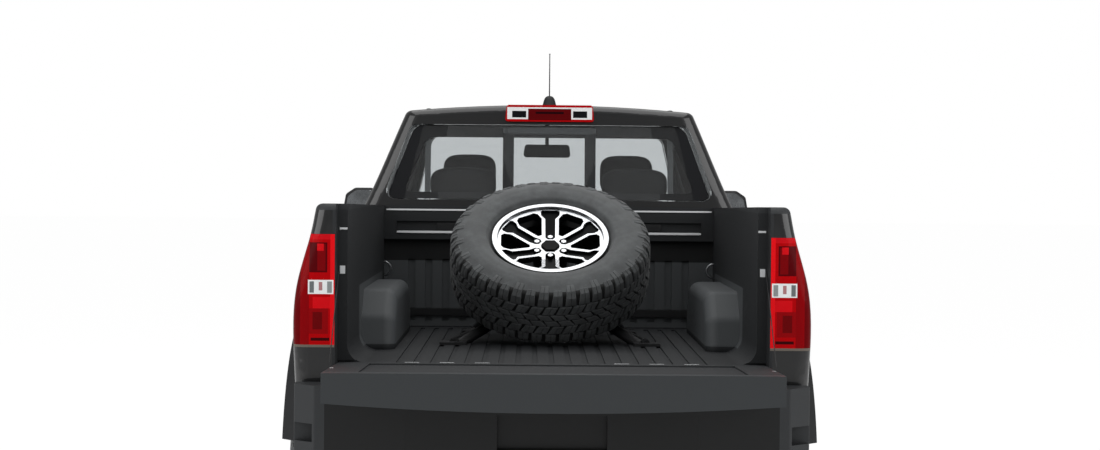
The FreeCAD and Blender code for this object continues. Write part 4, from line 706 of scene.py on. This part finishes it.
def makeBedFittings():
    for name, (material, boxes) in bedFittings.items():
        bars(name, material, boxes)
    x, back, z = tieDownHooks["place"]
    turn = np.linspace(0.0, math.pi, 9)
    reach, rise = tieDownHooks["reach"] * np.sin(turn), tieDownHooks["half"] * np.cos(turn)
    hooks = [tube(spots(sign * (x - reach), along(back), z + rise), tieDownHooks["wire"]) for sign in (1.0, -1.0)]
    newPiece("tie_down_hooks", *joined(hooks), "steel")


roofStrips = {"place": 0.52, "front": 1.3, "rear": 2.49, "halfWidth": 0.0125, "rise": 0.0028, "lift": 0.0006,
              "sunk": 0.003, "rows": 24, "columns": 7, "raysFrom": 2.2}


def makeRoofStrips():
    # a shallow arched section laid along the roof's own skin
    backs = np.linspace(roofStrips["front"], roofStrips["rear"], roofStrips["rows"])
    width = np.linspace(-1.0, 1.0, roofStrips["columns"])
    arch = spots(width * roofStrips["halfWidth"], 0.0, roofStrips["rise"] * (1.0 - width ** 2) + roofStrips["lift"])
    arch[[0, -1], 2] = -roofStrips["sunk"]
    parts = []
    for sign in (1.0, -1.0):
        above = [(sign * roofStrips["place"], along(back), roofStrips["raysFrom"]) for back in backs]
        skin = skinLine("cab_shell", above, (0.0, 0.0, -1.0))
        parts.append((skin[:, None] + arch[None], gridFaces(1, len(backs), len(width))))
    newPiece("roof_ditch_strips", *joined(parts), "grey")


# A domed rubber foot and a mast wound with a wire. Lengths in metres, places and narrowings as shares
antenna = {
    "footRadius": 0.03, "footHeight": 0.042, "footNarrows": 0.34, "domeCloses": 0.86, "footStretch": 0.1,
    "mastPlace": -0.3832, "mastFoot": 0.006, "mastRadius": 0.0024, "mastNarrows": 0.25, "wire": 0.0005, "turns": 46,
    "tipFrom": 0.985, "tipRadius": 0.0034, "rows": 420, "around": 24,
}


def makeAntenna():
    # rings stacked up an axis: radius = mast + wire times max(cos(turns), 0) along the mast
    corners = np.array(nodes["antenna"].bound_box)
    low, high = corners.min(axis=0), corners.max(axis=0)
    up = np.linspace(0.0, 1.0, 14)
    domeZ = low[2] + antenna["footHeight"] * up
    dome = antenna["footRadius"] * (1.0 - antenna["footNarrows"] * up) * np.sqrt(1.0 - antenna["domeCloses"] * up ** 6)
    mastZ = np.linspace(domeZ[-1], high[2], antenna["rows"])
    run = (mastZ - domeZ[-1]) / (high[2] - domeZ[-1])
    wire = antenna["wire"] * np.maximum(np.cos(run * antenna["turns"] * 2.0 * math.pi), 0.0)
    mast = antenna["mastRadius"] * (1.0 - antenna["mastNarrows"] * run) + wire
    mast = np.where(run > antenna["tipFrom"], antenna["tipRadius"], mast)
    radius = np.concatenate([[almostClosed], dome, [antenna["mastFoot"]], mast, [almostClosed]])[:, None]
    height = np.concatenate([[low[2]], domeZ, [domeZ[-1]], mastZ, [high[2]]])[:, None]
    turn = circle(antenna["around"])
    share = np.clip((height - low[2]) / antenna["footHeight"], 0.0, 1.0)
    middle = (low[1] + high[1]) / 2.0 * (1.0 - share) + antenna["mastPlace"] * share
    stretch = 1.0 + antenna["footStretch"] * (1.0 - share)
    points = spots(radius * np.cos(turn), middle + radius * np.sin(turn) * stretch, height)
    newPiece("antenna_foot_and_mast", points, gridFaces(1, len(radius), len(turn), False, True)[:, ::-1],
             "trim", replaced=("antenna",))


stays = {"top": (0.7205, 4.2516, 1.2), "bottom": (0.7195, 4.56, 0.9055), "radius": 0.0018, "rows": 40}


def makeStays():
    # a stay runs straight from its top on the pillar to its lower end on the tailgate, and is joined to no body
    for side, sign in bothSides:
        top, bottom = (np.array((sign * x, along(back), z)) for x, back, z in (stays["top"], stays["bottom"]))
        t = np.linspace(0.0, 1.0, stays["rows"])[:, None]
        stay = newPiece("tailgate_stay_" + side, *tube(top * (1 - t) + bottom * t, stays["radius"], 10),
                        "chassis", None, ("tailgate_cables",) if side == "left" else ())
        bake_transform(stay)


# The glass's outline as (x, z), drawn in to its middle by these shares; its rim is bevelled back
mirrorGlass = {
    "outline": [(0.9, 1.282), (1.022, 1.282), (1.043, 1.332), (1.028, 1.41), (0.986, 1.44), (0.904, 1.44)],
    "cornerRadius": 0.014, "back": 0.7405, "bevel": 0.002, "shares": (1.0, 0.985, 0.6, 0.2, 0.001),
}


def makeMirrorGlass():
    outline = roundedOutline(mirrorGlass["outline"], mirrorGlass["cornerRadius"], 6)
    centre = outline.mean(axis=0)
    rings = centre + (outline - centre)[None] * np.array(mirrorGlass["shares"])[:, None, None]
    back = np.full(rings.shape[:2], mirrorGlass["back"])
    back[0] -= mirrorGlass["bevel"]
    faces = gridFaces(1, *rings.shape[:2], False, True)
    for side, sign in bothSides:
        points = spots(sign * rings[..., 0], along(back), rings[..., 1])
        newPiece("mirror_glass_" + side, points, faces[:, ::int(-sign)], "mirror", "front_door_" + side)


# The core stands behind the grille, so no light comes through its slots: centre (x, back, z), half sizes, lean
radiator = [((0.0, -0.735, 0.862), (0.48, 0.016, 0.128), 0.0)]


def makeRadiator():
    bars("radiator_core", "black", radiator)


# The windscreen's plane is back = screenBack + slope (z - screenFoot); arms and blades are lifted off it
wipers = {
    "screenBack": 0.6003, "screenFoot": 1.256, "slope": 1.2415, "outwards": (0.625, 0.78),
    "bladeEnds": (-0.585, 0.02), "bladeLength": 0.52, "bladeHeight": 1.3, "bladeTilt": 0.012, "bladeLift": 0.01,
    "bladeRadius": 0.0055, "pivotIn": 0.115, "armLength": 0.15, "armHeight": 1.274, "armTilt": 0.034,
    "armLift": 0.017, "armBow": 0.004, "armRadius": 0.0045,
}


def makeWipers():
    t = np.linspace(0.0, 1.0, 16)
    parts = []
    for end in wipers["bladeEnds"]:
        blade = (end + wipers["bladeLength"] * t, wipers["bladeHeight"] + wipers["bladeTilt"] * t,
                 wipers["bladeLift"], wipers["bladeRadius"])
        arm = (end + wipers["pivotIn"] + wipers["armLength"] * t, wipers["armHeight"] + wipers["armTilt"] * t,
               wipers["armLift"] + wipers["armBow"] * np.sin(math.pi * t), wipers["armRadius"])
        for x, z, lift, radius in (blade, arm):
            y = along(wipers["screenBack"] + (z - wipers["screenFoot"]) * wipers["slope"])
            ahead, up = wipers["outwards"]
            parts.append(tube(spots(x, y + lift * ahead, z + lift * up), radius, 10))
    newPiece("windscreen_wipers", *joined(parts), "trim")


fuelDoor = {"back": 2.86, "height": 1.16, "half": 0.082, "proud": 0.0009, "sunk": 0.001, "roundness": 6.0}


def makeFuelDoor():
    # a round-cornered lid on the bed's left side, whose x is read at nine heights and carried along the bed
    half, height, middle, power = (fuelDoor[k] for k in ("half", "height", "back", "roundness"))
    ladder = height + np.linspace(-1.2, 1.2, 9) * half
    inwards = (1.0, 0.0, 0.0)
    skin = skinLine("cargo_box", [(-outsideX, along(middle), z) for z in ladder], inwards)[:, 0]
    ends = skinLine("cargo_box", [(-outsideX, along(middle + d), height) for d in (-half, half)], inwards)[:, 0]
    side = np.linspace(-1.0, 1.0, 17)
    u, v = np.meshgrid(side, side, indexing="ij")
    # the square grid is drawn in to a rounded one: times max(|u|, |v|) / (|u|^p + |v|^p)^(1/p)
    corner = (np.abs(u) ** power + np.abs(v) ** power) ** (1.0 / power)
    share = np.maximum(np.abs(u), np.abs(v)) / np.maximum(corner, 1e-6)
    backs, heights = middle + u * share * half, height + v * share * half
    lift = np.full(u.shape, -fuelDoor["sunk"])
    lift[1:-1, 1:-1] = fuelDoor["proud"]
    x = np.interp(heights, ladder, skin) + (ends[1] - ends[0]) / (2.0 * half) * (backs - middle) - lift
    newPiece("fuel_door", spots(x, along(backs), heights), gridFaces(1, *u.shape), "paint")


doorHandles = {"height": 1.155, "middles": {"front": 1.4, "rear": 2.24}, "halfLength": 0.098, "bow": 0.03,
               "endsIn": 0.002, "gripRadius": 0.01, "cupHalf": (0.0016, 0.07, 0.026), "cupLift": 0.0008,
               "widest": 0.962}


def makeDoorHandles():
    # a bow along each door: it stands out by 30 mm times (1 - t^4)
    t, z = np.linspace(-1.0, 1.0, 21), doorHandles["height"]
    for side, sign in bothSides:
        for end, middle in doorHandles["middles"].items():
            door = end + "_door_" + side
            skin = skinLine(door, [(sign * outsideX, along(middle), z)], (-sign, 0.0, 0.0))[0, 0]
            out = np.abs(skin) + doorHandles["bow"] * (1.0 - t ** 4) - doorHandles["endsIn"]
            out = sign * np.minimum(out, doorHandles["widest"])
            path = spots(out, along(middle + t * doorHandles["halfLength"]), z)
            cup = roundedForm((skin + sign * doorHandles["cupLift"], along(middle), z), doorHandles["cupHalf"], 4.0, 8)
            newPiece("door_handle_" + end + "_" + side, *joined([tube(path, doorHandles["gripRadius"]), cup[:2]]),
                     "grey", door)


# Rubber weather strips round the side windows: corners as (back, z)
windowStrips = {
    "radius": 0.0052, "outside": 0.006, "lift": 0.0005, "cornerRadius": 0.024,
    "front": [(1.485, 1.262), (1.485, 1.668), (1.275, 1.668), (0.838, 1.33), (0.772, 1.262)],
    "rear": [(1.605, 1.262), (2.318, 1.262), (2.19, 1.668), (1.605, 1.668)],
}


def makeWindowStrips():
    steps = np.linspace(0.0, 1.0, 6, endpoint=False)[None, :, None]
    for end in ("front", "rear"):
        loop = roundedOutline(windowStrips[end], windowStrips["cornerRadius"], 6)
        dense = (loop[:, None] * (1 - steps) + np.roll(loop, -1, axis=0)[:, None] * steps).reshape(-1, 2)
        out = dense - np.array(windowStrips[end]).mean(axis=0)
        path = dense + unit(out) * windowStrips["outside"]
        for side, sign in bothSides:
            door = end + "_door_" + side
            start = spots(sign * outsideX, along(path[:, 0]), path[:, 1])
            line = skinLine(door, start, (-sign, 0.0, 0.0), windowStrips["lift"])
            line = np.concatenate([line, line[:1]])
            line = line[np.abs(line[:, 0]) < outsideX]  # rays that miss the door stay outside
            newPiece("window_strip_" + end + "_" + side, *tube(line, windowStrips["radius"], 8), "trim", door)


for make in (makeWheels, makeMirrorGlass, makeRadiator, makeDoorHandles, makeWindowStrips, makeWipers, makeFuelDoor,
             makeRearGlassBands, makeSeats, makeBedFittings, makeRoofStrips, makeAntenna, makeStays):
    make()
    print(make.__name__, "done")

# Studio: a white room to the eye, with dim walls and three soft panels for the reflections
studio = {
    "cameraPlace": (-0.072, -8.791, 1.511), "pitchDown": 1.4, "yawRight": 0.54, "roll": 0.5, "focalPixels": 1925.0,
    "pictureWidth": 1100.0, "sensorWidth": 36.0, "clip": (0.05, 200.0), "floorHalf": 60.0, "floorColour": "#f2f2f2",
    "roomGlow": 0.86, "roomStrength": 1.09, "wallsInReflections": 0.28, "wallsElsewhere": 0.45,
    # panels: place, aim, width, depth, watts
    "panels": {"overhead": ((0.0, -1.0, 6.0), (0.0, -1.0, 0.0), 5.5, 8.5, 215.0),
               "left": ((-5.5, -5.0, 3.4), (0.0, -1.5, 1.0), 6.0, 4.5, 150.0),
               "right": ((5.5, -5.0, 3.4), (0.0, -1.5, 1.0), 6.0, 4.5, 150.0)},
}
white = (1.0, 1.0, 1.0, 1.0)


def makeCamera():
    camera = placed("camera", bpy.data.cameras.new("camera"))
    camera.data.sensor_width = studio["sensorWidth"]
    camera.data.lens = studio["sensorWidth"] * studio["focalPixels"] / studio["pictureWidth"]
    camera.data.clip_start, camera.data.clip_end = studio["clip"]
    pitch, yaw, roll = (math.radians(studio[k]) for k in ("pitchDown", "yawRight", "roll"))
    turn = Matrix.Rotation(math.pi / 2.0 - pitch, 4, "X") @ Matrix.Rotation(roll, 4, "Z")
    camera.matrix_world = Matrix.Translation(studio["cameraPlace"]) @ Matrix.Rotation(-yaw, 4, "Z") @ turn
    bpy.context.scene.camera = camera


def makeFloor():
    half = studio["floorHalf"]
    mesh = bpy.data.meshes.new("floor")
    corners = [(x * half, y * half, 0.0) for x, y in ((-1, -1), (1, -1), (1, 1), (-1, 1))]
    mesh.from_pydata(corners, [], [(0, 1, 2, 3)])
    material, add, _ = newMaterial("studio_floor_vinyl", Base_Color=studio["floorColour"], Roughness=0.9)
    tree = material.node_tree
    glow = add("Emission", {"Color": white, "Strength": studio["roomStrength"]})
    seen = add("LightPath", {}, "Is Camera Ray")
    share = add("Math", [seen, studio["roomGlow"]], operation="MULTIPLY")
    both = add("MixShader", [share, tree.nodes["Principled BSDF"].outputs[0], glow])
    tree.links.new(both, tree.nodes["Material Output"].inputs[0])
    mesh.materials.append(material)
    placed("floor", mesh)


def makeWorld():
    world = bpy.data.worlds.new("studio")
    bpy.context.scene.world = world
    world.use_nodes = True
    tree = world.node_tree
    add = partial(addNode, tree)
    # white to the camera and through glass, dim in reflections, and a soft fill for everything else
    camera, through, glossy = (add("LightPath", {}, "Is %s Ray" % ray) for ray in ("Camera", "Transmission", "Glossy"))
    seen = add("Math", [camera, through], operation="MAXIMUM")
    dim = add("MapRange", [glossy, 0.0, 1.0, studio["wallsElsewhere"], studio["wallsInReflections"]])
    strength = add("Math", [seen, dim], operation="MAXIMUM")
    tree.nodes["Background"].inputs["Color"].default_value = white
    tree.links.new(strength, tree.nodes["Background"].inputs["Strength"])


def makePanels():
    for name, (place, aim, width, depth, power) in studio["panels"].items():
        light = bpy.data.lights.new(name + "_panel", "AREA")
        light.shape = "RECTANGLE"
        light.size, light.size_y, light.energy = width, depth, power
        panel = placed(name + "_panel", light)
        panel.location = place
        panel.rotation_euler = (Vector(aim) - Vector(place)).to_track_quat("-Z", "Y").to_euler()


makeCamera()
makeFloor()
makeWorld()
makePanels()
bpy.context.scene.view_settings.view_transform = "Standard"
print("studio made")
